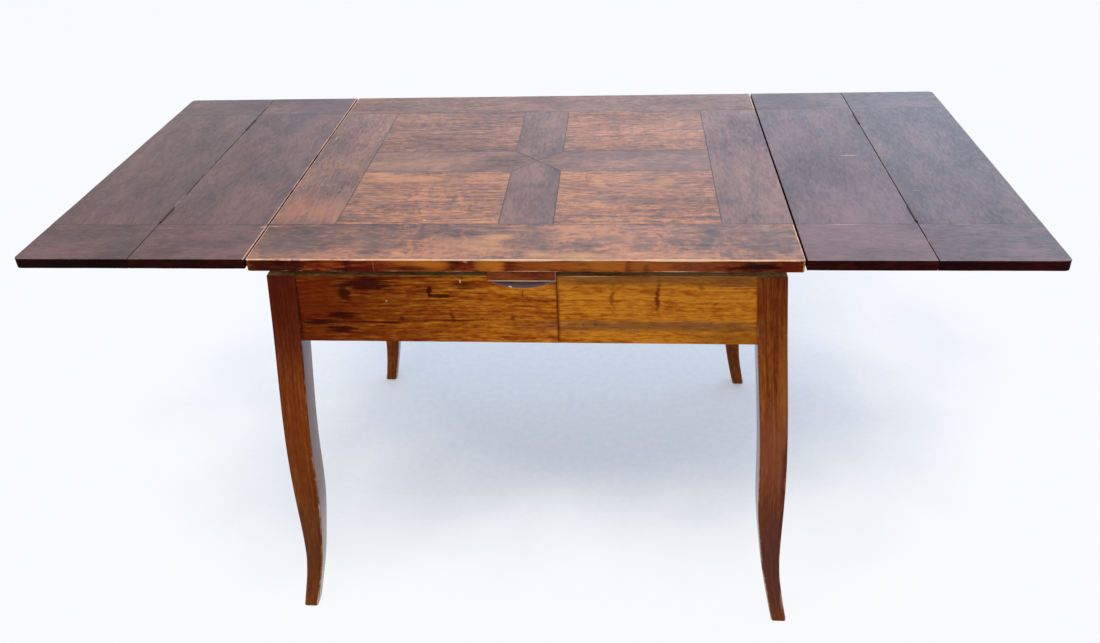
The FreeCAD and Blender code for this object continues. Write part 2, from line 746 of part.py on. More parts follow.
def hinge_plate(side, half, row, screws):
    """A plate with its knuckles, bored for the pin and countersunk for its screws."""
    name = f"{side}_{half}_plate_{row}"
    pieces = [flat_plate(f"{name}_flat", side, half, row)]
    for number, span in enumerate(KNUCKLE_SPANS[half]):
        y = tuple(station(row, end) for end in span)
        x = mirrored(PLATE_X[half], SIDES[side])
        pieces.append(box(f"{name}_neck{number}", x, y, (PLATE_TOP, PIVOT_UP)))
        pieces.append(on_pivot(f"{name}_knuckle{number}", side, row, span, "knuckle_radius"))
    bore = on_pivot(f"{name}_bore", side, row, (f"-{HALF_HINGE}", HALF_HINGE), "pin_radius + pin_play")
    return cut(name, join(f"{name}_blank", pieces), [bore, *screws])


def small_screw(name, side, half, row, offset):
    """A small countersunk screw from a plate's face, level into its edge of the leaf."""
    face = {"inner": SEAM_IN, "outer": SEAM_OUT}[half]
    into = -SIDES[side] if half == "inner" else SIDES[side]
    turn = TURNS["+x"] if into > 0 else TURNS["-x"]
    start = (f"{SIDES[side]} * {face}", station(row, offset), PLATE_MID)
    head = cone(f"{name}_head", start, turn, "plate_thick", "small_head_radius", "small_screw_radius")
    return join(name, [head, rod(f"{name}_shank", start, turn, "small_screw_long", "small_screw_radius")])


def knuckle_slot(name, side, row):
    """The room in both edges for the knuckles, cut down from the surface."""
    x = around(f"{SIDES[side]} * {SEAM_MID}", "(knuckle_radius + knuckle_room)")
    y = around(station(row), f"({HALF_HINGE} + knuckle_gap)")
    return box(name, x, y, (PLATE_TOP, f"{PIVOT_UP} + knuckle_radius"))


# ---- the leaves: two halves at each end, each a board with an end piece along its front and back

LEAF_UP = (LEAF_UNDER, "table_height")
LEAF_MID = f"({LEAF_UNDER} + leaf_thick / 2)"
HALF_SPANS = {"inner": (LEAF_IN, SEAM_IN), "outer": (SEAM_OUT, LEAF_OUT)}


def leaf_half(side, half, tools):
    """The board and the two end pieces of a half leaf; the tools are what the board is cut for."""
    name = f"{side}_leaf_{half}"
    low, high = HALF_SPANS[half]
    x = mirrored((low, high), SIDES[side])
    groove_x = mirrored((f"{low} + leaf_groove_stop", f"{high} - leaf_groove_stop"), SIDES[side])
    tongue_x = (f"{groove_x[0]} + groove_play", f"{groove_x[1]} - groove_play")
    groove_up = around(LEAF_MID, "(leaf_tongue / 2 + groove_play)")
    tongues = []
    for row, span in RAIL_SPANS.items():
        blank = box(f"{name}_{row}_blank", x, span, LEAF_UP)
        if half == "outer":
            corner = [(SIDES[side], ROWS[row])]
            blank = rounded(f"{name}_{row}_round", blank, corner, SIZES["leaf_corner"])
        edge = RAIL_EDGES[row]
        groove = box(f"{name}_{row}_groove", groove_x, beyond(edge, row, GROOVE_DEEP), groove_up)
        member(f"{name}_{row}_end", blank, grooves=[groove])
        tongue_y, tongue_up = beyond(edge, row, "tongue_long"), around(LEAF_MID, "leaf_tongue / 2")
        tongues.append(box(f"{name}_{row}_tongue", tongue_x, tongue_y, tongue_up))
    member(f"{name}_board", box(f"{name}_blank", x, FIELD, LEAF_UP), tongues, tools)


# ---- the lopers: sloping bars fixed under the inner half, which also hold the outer half up

LOPER_TIP = f"({LEAF_OUT} - tip_setback)"
BEVEL_START = f"({LOPER_TIP} - tip_bevel)"
SHOULDER = f"({LEAF_IN} + shoulder_gap)"
LOPER_POINTS = (
    ("tail_reach", bar_low("tail_reach")),
    (BEVEL_START, bar_low(BEVEL_START)),
    (LOPER_TIP, f"{LEAF_UNDER} - tip_face"),
    (LOPER_TIP, f"{LEAF_UNDER} - rest_gap"),
    (SEAM_MID, f"{LEAF_UNDER} - rest_gap"),
    (SEAM_MID, LEAF_UNDER),
    (SHOULDER, LEAF_UNDER),
    (SHOULDER, bar_top(SHOULDER)),
    ("tail_reach", bar_top("tail_reach")),
)
STOP_OUT = f"({END_IN} - draw_slack)"
STOP_IN = f"({STOP_OUT} - stop_length)"
STOP_POINTS = (
    (STOP_IN, bar_low(STOP_IN)),
    (STOP_OUT, bar_low(STOP_OUT)),
    (STOP_OUT, f"{bar_low(STOP_OUT)} - stop_depth"),
    (STOP_IN, f"{bar_low(STOP_IN)} - stop_depth"),
)
LOPER_SEAT = f"({LEAF_UNDER} - loper_screw_body)"


def beside(name, side, row, points):
    """A piece as wide as a loper, drawn from the side, in its lane."""
    drawn = [(f"{SIDES[side]} * {x}", z) for x, z in points]
    return prism(name, "XZ_Plane", drawn, "loper_width", f"{ROWS[row]} * {LANES[side]}")


def loper(side, row):
    """A loper, with the screws that hold it to the leaf, which are returned."""
    node = f"{side}_{row}_loper"
    screws, bores = [], []
    for spot in ("near", "far"):
        along = f"{SIDES[side]} * ({LEAF_IN} + loper_screw_{spot})"
        across = f"{ROWS[row]} * {LANES[side]}"
        screws.append(screw_up(f"{node}_screw_{spot}", along, across, LOPER_SEAT, "loper_screw_body + leaf_grip"))
        bores.append(counterbore(f"{node}_bore_{spot}", along, across, LOPER_SEAT, "2 * bar_depth"))
    keep(node, cut(node, beside(f"{node}_blank", side, row, LOPER_POINTS), screws + bores))
    return screws


def leaf(side):
    """A whole leaf: its lopers, both halves, the hinges between them and all their screws."""
    loper_screws = [screw for row in ROWS for screw in loper(side, row)]
    stops = [beside(f"{side}_{row}_stop", side, row, STOP_POINTS) for row in ROWS]
    keep(f"{side}_loper_stops", group(f"{side}_stops", stops))
    slots = [knuckle_slot(f"{side}_slot_{row}", side, row) for row in ROWS]
    small = {}
    for half in HALF_SPANS:
        plates, small[half] = [], []
        for row in ROWS:
            name = f"{side}_{half}_screw_{row}"
            offsets = {"a": "-plate_screw_pitch / 2", "b": "plate_screw_pitch / 2"}
            screws = [small_screw(name + key, side, half, row, offset) for key, offset in offsets.items()]
            plates.append(hinge_plate(side, half, row, screws))
            small[half] += screws
        keep(f"{side}_hinge_plates_{half}", group(f"{side}_{half}_plates", plates))
        pockets = [flat_plate(f"{side}_{half}_pocket_{row}", side, half, row) for row in ROWS]
        others = loper_screws if half == "inner" else []
        leaf_half(side, half, slots + pockets + small[half] + others)
    keep(f"{side}_leaf_screws", group(f"{side}_screws", loper_screws + small["inner"]))
    keep(f"{side}_flap_screws", group(f"{side}_outer_screws", small["outer"]))
    full = (f"-{HALF_HINGE}", HALF_HINGE)
    pins = [on_pivot(f"{side}_pin_{row}", side, row, full, "pin_radius") for row in ROWS]
    keep(f"{side}_hinge_pins", group(f"{side}_pins", pins))


for side in SIDES:
    leaf(side)

# ---- check everything, then write one file for each node

doc.recompute()
failed = [item.Name for item in doc.Objects if {"Invalid", "Error"} & set(item.State)]
faulty = [node for node, solid in nodes.items() if solid.Shape.isNull() or not solid.Shape.isValid()]
if failed or faulty:
    raise RuntimeError(f"failed objects {failed}, faulty shapes {faulty}")

os.makedirs("parts", exist_ok=True)
for node, solid in nodes.items():
    solid.Shape.exportStep(f"parts/{node}.step")
print(len(nodes), "nodes written")
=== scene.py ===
"""Looks of a draw-leaf dining table: a panelled top, two folding leaves, sloping lopers and curved legs.

Sizes are in millimetres as the joiner has them, and turn into metres when a mesh is made. X runs along the
table, Y from its front to its back and Z up; the origin is on the floor under the middle of the top. A stain
or metal colour is written as the six hex digits of its screen value.
"""

from __future__ import annotations

import json
import logging
import math
from dataclasses import dataclass
from enum import Enum
from typing import Iterable, Sequence

import bpy
import numpy as np
from mathutils import Matrix, Vector
from mathutils.geometry import delaunay_2d_cdt

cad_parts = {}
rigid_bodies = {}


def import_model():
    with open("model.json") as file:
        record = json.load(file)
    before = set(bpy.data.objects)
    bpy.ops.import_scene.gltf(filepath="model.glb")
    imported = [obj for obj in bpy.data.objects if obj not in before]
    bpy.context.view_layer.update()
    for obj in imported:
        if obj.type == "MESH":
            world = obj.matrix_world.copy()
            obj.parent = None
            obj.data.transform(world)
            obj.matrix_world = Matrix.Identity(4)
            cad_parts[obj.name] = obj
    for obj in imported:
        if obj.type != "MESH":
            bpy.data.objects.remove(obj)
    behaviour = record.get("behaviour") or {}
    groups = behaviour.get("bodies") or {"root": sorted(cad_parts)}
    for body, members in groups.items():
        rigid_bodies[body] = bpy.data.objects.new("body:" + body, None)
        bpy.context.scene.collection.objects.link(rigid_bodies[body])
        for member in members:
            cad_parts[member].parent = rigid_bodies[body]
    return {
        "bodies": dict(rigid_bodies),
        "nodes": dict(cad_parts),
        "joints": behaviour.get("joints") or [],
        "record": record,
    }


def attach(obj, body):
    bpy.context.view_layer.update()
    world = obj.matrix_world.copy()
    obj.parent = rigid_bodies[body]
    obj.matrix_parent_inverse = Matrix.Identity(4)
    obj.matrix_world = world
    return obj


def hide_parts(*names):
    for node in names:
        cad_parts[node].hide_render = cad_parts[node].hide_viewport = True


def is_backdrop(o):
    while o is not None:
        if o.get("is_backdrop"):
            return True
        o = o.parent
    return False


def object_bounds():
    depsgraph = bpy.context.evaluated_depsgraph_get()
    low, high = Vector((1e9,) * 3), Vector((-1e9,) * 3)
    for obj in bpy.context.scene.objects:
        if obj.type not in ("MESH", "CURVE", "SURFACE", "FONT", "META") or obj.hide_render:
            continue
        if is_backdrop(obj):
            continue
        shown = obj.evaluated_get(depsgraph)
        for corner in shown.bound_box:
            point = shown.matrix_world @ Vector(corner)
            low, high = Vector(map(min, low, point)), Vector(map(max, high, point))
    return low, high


LOG = logging.getLogger("table")
MM = 0.001
CREASE = math.radians(40)  # the turn past which two faces look sharp
STEP = 12.0  # between points along an outline, in mm
CLEAR = 4.5  # from a corner to the first of them
LATTICE = 30.0  # between the points inside a board's face

Pair = tuple[float, float]
Point = tuple[float, float, float]
Box = tuple[Point, Point]
Rows = tuple[np.ndarray, ...]
Piece = bpy.types.Object


def stain(code: int) -> Point:
    """A colour code turned into light values by the sRGB curve."""
    parts = [((code >> shift) & 255) / 255 for shift in (16, 8, 0)]
    red, green, blue = (p / 12.92 if p <= 0.04045 else ((p + 0.055) / 1.055) ** 2.4 for p in parts)
    return red, green, blue


def unit(vector: np.ndarray) -> np.ndarray:
    """The vector or rows of vectors at length one."""
    return vector / np.linalg.norm(vector, axis=-1, keepdims=True)


# ---- meshes


class Plane(Enum):
    """Which way an outline is drawn: the two axes that it lies along."""

    LEVEL = ((1, 0, 0), (0, 1, 0))
    FRONT = ((1, 0, 0), (0, 0, 1))
    SIDE = ((0, 1, 0), (0, 0, 1))

    def axes(self) -> np.ndarray:
        """Three rows: the outline's two axes, and their cross product, which runs across the thickness."""
        first, second = np.array(self.value, float)
        return np.vstack((first, second, np.cross(first, second)))


@dataclass(frozen=True)
class Edge:
    """How the arrises along one side of a board are eased: radius in mm, wear and grime from 0 to 1."""

    radius: float
    wear: float
    grime: float


JOINT = Edge(0.45, 0.0, 0.9)
FAINT = Edge(0.3, 0.0, 0.3)
EASED = Edge(1.1, 0.25, 0.0)
WORN = Edge(1.5, 1.0, 0.0)
SEAM = Edge(0.9, 0.5, 0.3)


@dataclass
class Ring:
    """A closed outline: rows of points, each with the normals and finish of the edges beside it."""

    points: np.ndarray
    before: np.ndarray
    after: np.ndarray
    radius: np.ndarray
    wear: np.ndarray
    grime: np.ndarray

    def inset(self, depth: np.ndarray) -> np.ndarray:
        """The outline moved inwards.

        Each point goes to where the lines of its two neighbouring edges meet once each line has moved in
        along its own normal: v . before = -depth0 and v . after = -depth1. On a straight run both normals
        are the same, and the point moves along it by the mean.

        Args:
            depth: how far to move in, (N, 2), before and after each point.

        Returns:
            The moved points, (N, 2).
        """
        turn = self.before[:, 0] * self.after[:, 1] - self.before[:, 1] * self.after[:, 0]
        straight = np.abs(turn) < 1e-6
        safe = np.where(straight, 1.0, turn)
        x = (depth[:, 0] * self.after[:, 1] - depth[:, 1] * self.before[:, 1]) / safe
        y = (depth[:, 1] * self.before[:, 0] - depth[:, 0] * self.after[:, 0]) / safe
        along = -self.before * depth.mean(axis=1, keepdims=True)
        return self.points + np.where(straight[:, None], along, -np.stack((x, y), axis=1))


def corner_rows(spot: np.ndarray, rounding: float, normals: np.ndarray, last: Edge, edge: Edge) -> Rows:
    """One corner's samples: the corner itself, or nine on its arc, each the arc's centre + rounding n.

    Args:
        spot: the corner.
        rounding: its radius, 0 for a sharp one.
        normals: the normals of the edge before it and the edge after it; n turns evenly between them.
        last: how the edge before it is eased.
        edge: how the edge after it is eased.

    Returns:
        The rows of a ring.
    """
    share = np.linspace(0, 1, 9) if rounding else np.array([0.5])
    part = share[:, None]
    wear = (1 - share) * last.wear + share * edge.wear
    grime = (1 - share) * last.grime + share * edge.grime
    if not rounding:
        return spot[None], normals[:1], normals[1:], np.array([[last.radius, edge.radius]]), wear, grime
    turned = unit((1 - part) * normals[0] + part * normals[1])
    centre = spot - rounding * (normals[0] + normals[1]) / (1 + normals[0] @ normals[1])
    radius = np.repeat((1 - part) * last.radius + part * edge.radius, 2, axis=1)
    return centre + rounding * turned, turned, turned, radius, wear, grime


def edge_rows(spot: np.ndarray, way: np.ndarray, run: Pair, edge: Edge, rng: np.random.Generator) -> Rows:
    """One edge's samples, with an arris radius that wanders by a third, as hand work and wear leave it.

    Args:
        spot: the corner that the edge starts from.
        way: its direction, at length one.
        run: where its straight part starts and ends, in mm from that corner.
        edge: how it is eased.
        rng: what the wandering is drawn from.

    Returns:
        The rows of a ring.
    """
    steps = max(2, int((run[1] - run[0]) / STEP))
    along = np.linspace(run[0] + CLEAR, run[1] - CLEAR, steps)
    knots = steps // 3 + 2
    wander = np.interp(along, np.linspace(*run, knots), rng.uniform(-0.35, 0.35, knots))
    radius = np.repeat((edge.radius * (1 + wander))[:, None], 2, axis=1)
    normal = np.repeat([[way[1], -way[0]]], steps, axis=0)
    full = np.ones(steps)
    return spot + along[:, None] * way, normal, normal, radius, full * edge.wear, full * edge.grime


def ring_of(corners: Sequence[Pair], edges: Sequence[Edge], rounding: Sequence[float], seed: int) -> Ring:
    """Samples an outline, with its corners rounded.

    Args:
        corners: the outline's corners, anticlockwise.
        edges: how each edge is eased; edge i runs from corner i to the next.
        rounding: each corner's radius, 0 for a sharp one.
        seed: what makes this board's edges its own.

    Returns:
        The sampled outline.
    """
    rng = np.random.default_rng(seed)
    spots = np.array(corners, float)
    runs = np.roll(spots, -1, axis=0) - spots
    lengths = np.linalg.norm(runs, axis=1)
    way = unit(runs)
    normal = np.stack((way[:, 1], -way[:, 0]), axis=1)
    cosine = np.clip((np.roll(normal, 1, axis=0) * normal).sum(axis=1), -0.99, 1)
    trim = np.array(rounding, float) * np.sqrt((1 - cosine) / (1 + cosine))
    rows: list[Rows] = []
    for i, edge in enumerate(edges):
        rows.append(corner_rows(spots[i], rounding[i], normal[[i - 1, i]], edges[i - 1], edge))
        start, stop = trim[i], lengths[i] - trim[(i + 1) % len(trim)]
        if stop - start >= 3 * CLEAR:
            rows.append(edge_rows(spots[i], way[i], (start, stop), edge, rng))
    return Ring(*(np.concatenate(parts) for parts in zip(*rows)))


# Carried round the outline from the upper face to the lower one: inset in radii, inset in mm, drop in radii,
# drop in mm, share of wear, share of grime.
ARRIS = np.array(
    [(1.0, 1.6, 0.0, 0.0, 0.0, 0.0), (1.0, 0.7, 0.0, 0.0, 0.35, 0.15)]
    + [(1 - math.sin(t), 0.0, 1 - math.cos(t), 0.0, 1.0, 1.0) for t in np.linspace(0, math.pi / 2, 5)]
    + [(0.0, 0.0, 1.0, 0.7, 0.3, 0.5), (0.0, 0.0, 1.0, 2.0, 0.0, 0.3)]
)
LOWER_WEAR = 0.6  # how much of the upper arris's wear the lower one has


def mesh_piece(name: str, points: np.ndarray, faces: list[list[int]], slots: Iterable[int]) -> Piece:
    """Makes an object at the origin, with smooth faces that break at sharp turns.

    Args:
        name: the piece's name.
        points: the mesh's points, in mm.
        faces: each face's point numbers, anticlockwise from outside.
        slots: each face's material slot.

    Returns:
        The linked object.
    """
    mesh = bpy.data.meshes.new(name)
    mesh.from_pydata((points * MM).tolist(), [], faces)
    mesh.polygons.foreach_set("material_index", np.fromiter(slots, int, len(faces)))
    mesh.polygons.foreach_set("use_smooth", np.ones(len(faces), bool))
    mesh.set_sharp_from_angle(angle=CREASE)
    mesh.update()
    piece = bpy.data.objects.new(name, mesh)
    bpy.context.scene.collection.objects.link(piece)
    return piece


def put(piece: Piece, name: str, values: np.ndarray) -> None:
    """Stores a number or a vector on each of the mesh's points, for the finishes to read.

    Args:
        piece: the piece.
        name: what the finishes call it.
        values: (N,) numbers or (N, 3) vectors.
    """
    kind, key = ("FLOAT", "value") if values.ndim == 1 else ("FLOAT_VECTOR", "vector")
    attribute = piece.data.attributes.new(name, kind, "POINT")
    attribute.data.foreach_set(key, np.ascontiguousarray(values, np.float32).ravel())


def walls(rings: int, around: int) -> np.ndarray:
    """Quads between rings that follow each other.

    Args:
        rings: how many rings there are.
        around: how many points each has.

    Returns:
        Rows of four point numbers, facing out.
    """
    ring, spot = np.meshgrid(np.arange(rings - 1), np.arange(around), indexing="ij")
    after = (spot + 1) % around
    low, high = ring * around, (ring + 1) * around
    return np.stack((low + spot, high + spot, high + after, low + after), axis=-1).reshape(-1, 4)


def infill(outline: np.ndarray) -> tuple[np.ndarray, np.ndarray]:
    """Triangles that fill a closed outline, with a lattice of points inside it.

    A lattice point is kept where a ray from it towards +x crosses the outline an odd number of times, and
    where no point of the outline is nearer than 0.45 of the lattice's spacing.

    Args:
        outline: the outline's points, anticlockwise.

    Returns:
        The kept lattice points, and rows of three numbers that count the outline's points and then those.
    """
    low, high = outline.min(axis=0), outline.max(axis=0)
    steps = np.maximum((high - low) / LATTICE, 1).astype(int)
    across = (np.linspace(a, b, n + 2)[1:-1] for a, b, n in zip(low, high, steps))
    lattice = np.stack(np.meshgrid(*across, indexing="ij"), axis=-1).reshape(-1, 1, 2)
    run = np.roll(outline, -1, axis=0) - outline
    climb = np.where(run[:, 1] == 0, 1.0, run[:, 1])
    over = (outline[:, 1] > lattice[..., 1]) != (outline[:, 1] + run[:, 1] > lattice[..., 1])
    beside = lattice[..., 0] < outline[:, 0] + (lattice[..., 1] - outline[:, 1]) * run[:, 0] / climb
    clear = np.linalg.norm(lattice - outline, axis=2).min(axis=1) > 0.45 * LATTICE
    inner = lattice[((over & beside).sum(axis=1) % 2 == 1) & clear, 0]
    spots = [Vector(spot) for spot in np.vstack((outline, inner)).tolist()]
    border = [(i, (i + 1) % len(outline)) for i in range(len(outline))]
    _, _, cells, source, _, _ = delaunay_2d_cdt(spots, border, [], 1, 1e-6)
    return inner, np.array([ids[0] for ids in source])[np.array(cells)]


def plank(name: str, plane: Plane, ring: Ring, faces: Pair, flat: float) -> Piece:
    """A board: the arris profile carried round an outline, with a flat face on each side.

    A point of the surface is ring.inset(a r + b) at the height high - (c r + d), where a to d come from one
    row of ARRIS and r is the arris radius there. The lower half mirrors the upper one, and the arris turns
    from the face's slot to the edge's half way round.

    Args:
        name: the piece's name.
        plane: the plane that the outline is drawn on.
        ring: the outline.
        faces: where the lower and the upper face lie along the plane's third axis, in mm.
        flat: scales the flat strips beside the arris.

    Returns:
        The board, with slot 0 on its upper face, 1 on its edges and 2 on its lower face.
    """
    low, high = faces
    half, around = len(ARRIS), len(ring.points)
    profile = np.vstack((ARRIS, ARRIS[::-1])) * (1, flat, 1, flat, 1, 1)
    upper = np.arange(2 * half) < half
    axes = plane.axes()
    mean = ring.radius.mean(axis=1)
    flats = [ring.inset(row[0] * ring.radius + row[1]) for row in profile]
    drops = [row[2] * mean + row[3] for row in profile]
    heights = [high - drop if top else low + drop for drop, top in zip(drops, upper)]
    inner, cells = infill(flats[0])
    layers = [spots @ axes[:2] + height[:, None] * axes[2] for spots, height in zip(flats, heights)]
    layers += [inner @ axes[:2] + level * axes[2] for level in (high, low)]
    skipped = (2 * half - 1) * around
    above = np.where(cells < around, cells, cells + skipped)
    below = np.where(cells < around, cells + skipped, cells + skipped + len(inner))[:, ::-1]
    band = np.repeat(np.arange(2 * half - 1), around)
    turn = half // 2
    sides = np.where(band < turn, 0, np.where(band > 2 * half - 2 - turn, 2, 1))
    slots = [0] * len(cells) + sides.tolist() + [2] * len(cells)
    piece = mesh_piece(name, np.concatenate(layers), [*above.tolist(), *walls(2 * half, around).tolist(),
                                                      *below.tolist()], slots)
    plain = np.zeros(2 * len(inner))
    wear = [ring.wear * row[4] * (1 if top else LOWER_WEAR) for row, top in zip(profile, upper)]
    put(piece, "wear", np.concatenate([*wear, plain]))
    put(piece, "grime", np.concatenate([*(ring.grime * row[5] for row in profile), plain]))
    return piece


def carve(piece: Piece, boxes: Sequence[Box]) -> None:
    """Cuts recesses out of a board and leaves the result in its mesh.

    Args:
        piece: the board.
        boxes: the low and high corner of each recess, in mm.
    """
    corners = np.array([(x, y, z) for x in (0, 1) for y in (0, 1) for z in (0, 1)], float)
    sides = [[0, 1, 3, 2], [4, 6, 7, 5], [0, 4, 5, 1], [2, 3, 7, 6], [0, 2, 6, 4], [1, 5, 7, 3]]
    cutters = []
    for number, (low, high) in enumerate(boxes):
        points = np.array(low) + corners * (np.array(high) - np.array(low))
        cutters.append(mesh_piece(f"{piece.name}_cutter{number}", points, sides, [1] * 6))
        modifier = piece.modifiers.new(f"recess{number}", "BOOLEAN")
        modifier.operation = "DIFFERENCE"
        modifier.solver = "EXACT"
        modifier.object = cutters[-1]
    graph = bpy.context.evaluated_depsgraph_get()
    carved = bpy.data.meshes.new_from_object(piece.evaluated_get(graph))
    old = piece.data
    piece.modifiers.clear()
    piece.data = carved
    carved.set_sharp_from_angle(angle=CREASE)
    bpy.data.meshes.remove(old)
    for cutter in cutters:
        bpy.data.objects.remove(cutter)


class Grain(Enum):
    """Which way a board's fibres run. Each value orders the axes: along the fibres, across them, through."""

    ALONG_X = (0, 1, 2)
    ALONG_Y = (1, 0, 2)
    ALONG_Z = (2, 0, 1)

    def lay(self, piece: Piece, seed: int, tone: float, middle: np.ndarray | float = 0.0) -> None:
        """Gives a piece its own stretch of wood: grain = its points, axes reordered, plus a random shift.

        Args:
            piece: the board or leg.
            seed: what makes its stretch of wood its own.
            tone: how much lighter or darker it is than the finish, added to the shade.
            middle: the line that its fibres follow, at each point, where that isn't straight.
        """
        count = len(piece.data.vertices)
        points = np.empty(count * 3, np.float32)
        piece.data.vertices.foreach_get("co", points)
        shift = np.random.default_rng(seed).uniform(-40, 40, 3)
        put(piece, "grain", (points.reshape(-1, 3) - middle)[:, list(self.value)] + shift)
        put(piece, "tone", np.full(count, tone))


def spline(knots: np.ndarray, values: np.ndarray, at: np.ndarray) -> np.ndarray:
    """A natural cubic through the values at the knots.

    Its second derivatives m solve h0 m0 + 2 (h0 + h1) m1 + h1 m2 = 6 (slope1 - slope0) at each inner knot and
    are 0 at the ends.

    Args:
        knots: where the values are, rising.
        values: the values there.
        at: where the curve is wanted.

    Returns:
        The curve's value at each place.
    """
    gap = np.diff(knots)
    count = len(knots)
    matrix, right = np.eye(count), np.zeros(count)
    inner = np.arange(1, count - 1)
    matrix[inner, inner - 1], matrix[inner, inner + 1] = gap[:-1], gap[1:]
    matrix[inner, inner] = 2 * (gap[:-1] + gap[1:])
    right[inner] = 6 * np.diff(np.diff(values) / gap)
    bend = np.linalg.solve(matrix, right)
    k = np.clip(np.searchsorted(knots, at) - 1, 0, count - 2)
    near, far = (at - knots[k]) / gap[k], (knots[k + 1] - at) / gap[k]
    curve = (far**3 - far) * bend[k] + (near**3 - near) * bend[k + 1]
    return far * values[k] + near * values[k + 1] + curve * gap[k] ** 2 / 6


# ---- nodes


@dataclass(frozen=True)
class Flow:
    """What runs out of a node: a number or three. Adding, taking and multiplying make the nodes for it."""

    tree: Tree
    socket: bpy.types.NodeSocket

    def then(self, operation: str, other: object = 0.0, clamp: bool = False) -> Flow:
        """Works out a number from this flow and another, or from a place and another.

        Args:
            operation: the node's name for it.
            other: the second flow, number or three numbers.
            clamp: keeps a number between 0 and 1.

        Returns:
            The result; a length comes out as a number.
        """
        if self.socket.type == "VALUE":
            return self.tree.flow("Math", {0: self, 1: other}, operation=operation, use_clamp=clamp)
        output = "Value" if operation == "LENGTH" else "Vector"
        return self.tree.flow("VectorMath", {0: self, 1: other}, output, operation=operation)

    def __add__(self, other: object) -> Flow:
        """This and the other."""
        return self.then("ADD", other)

    def __sub__(self, other: object) -> Flow:
        """This less the other."""
        return self.then("SUBTRACT", other)

    def __mul__(self, other: object) -> Flow:
        """This times the other."""
        return self.then("MULTIPLY", other)


@dataclass(frozen=True)
class Noise:
    """Layered noise about 0.5: waves a metre along and across the fibres, number of layers, contrast."""

    scale: Point
    detail: float = 2.0
    rough: float = 0.5


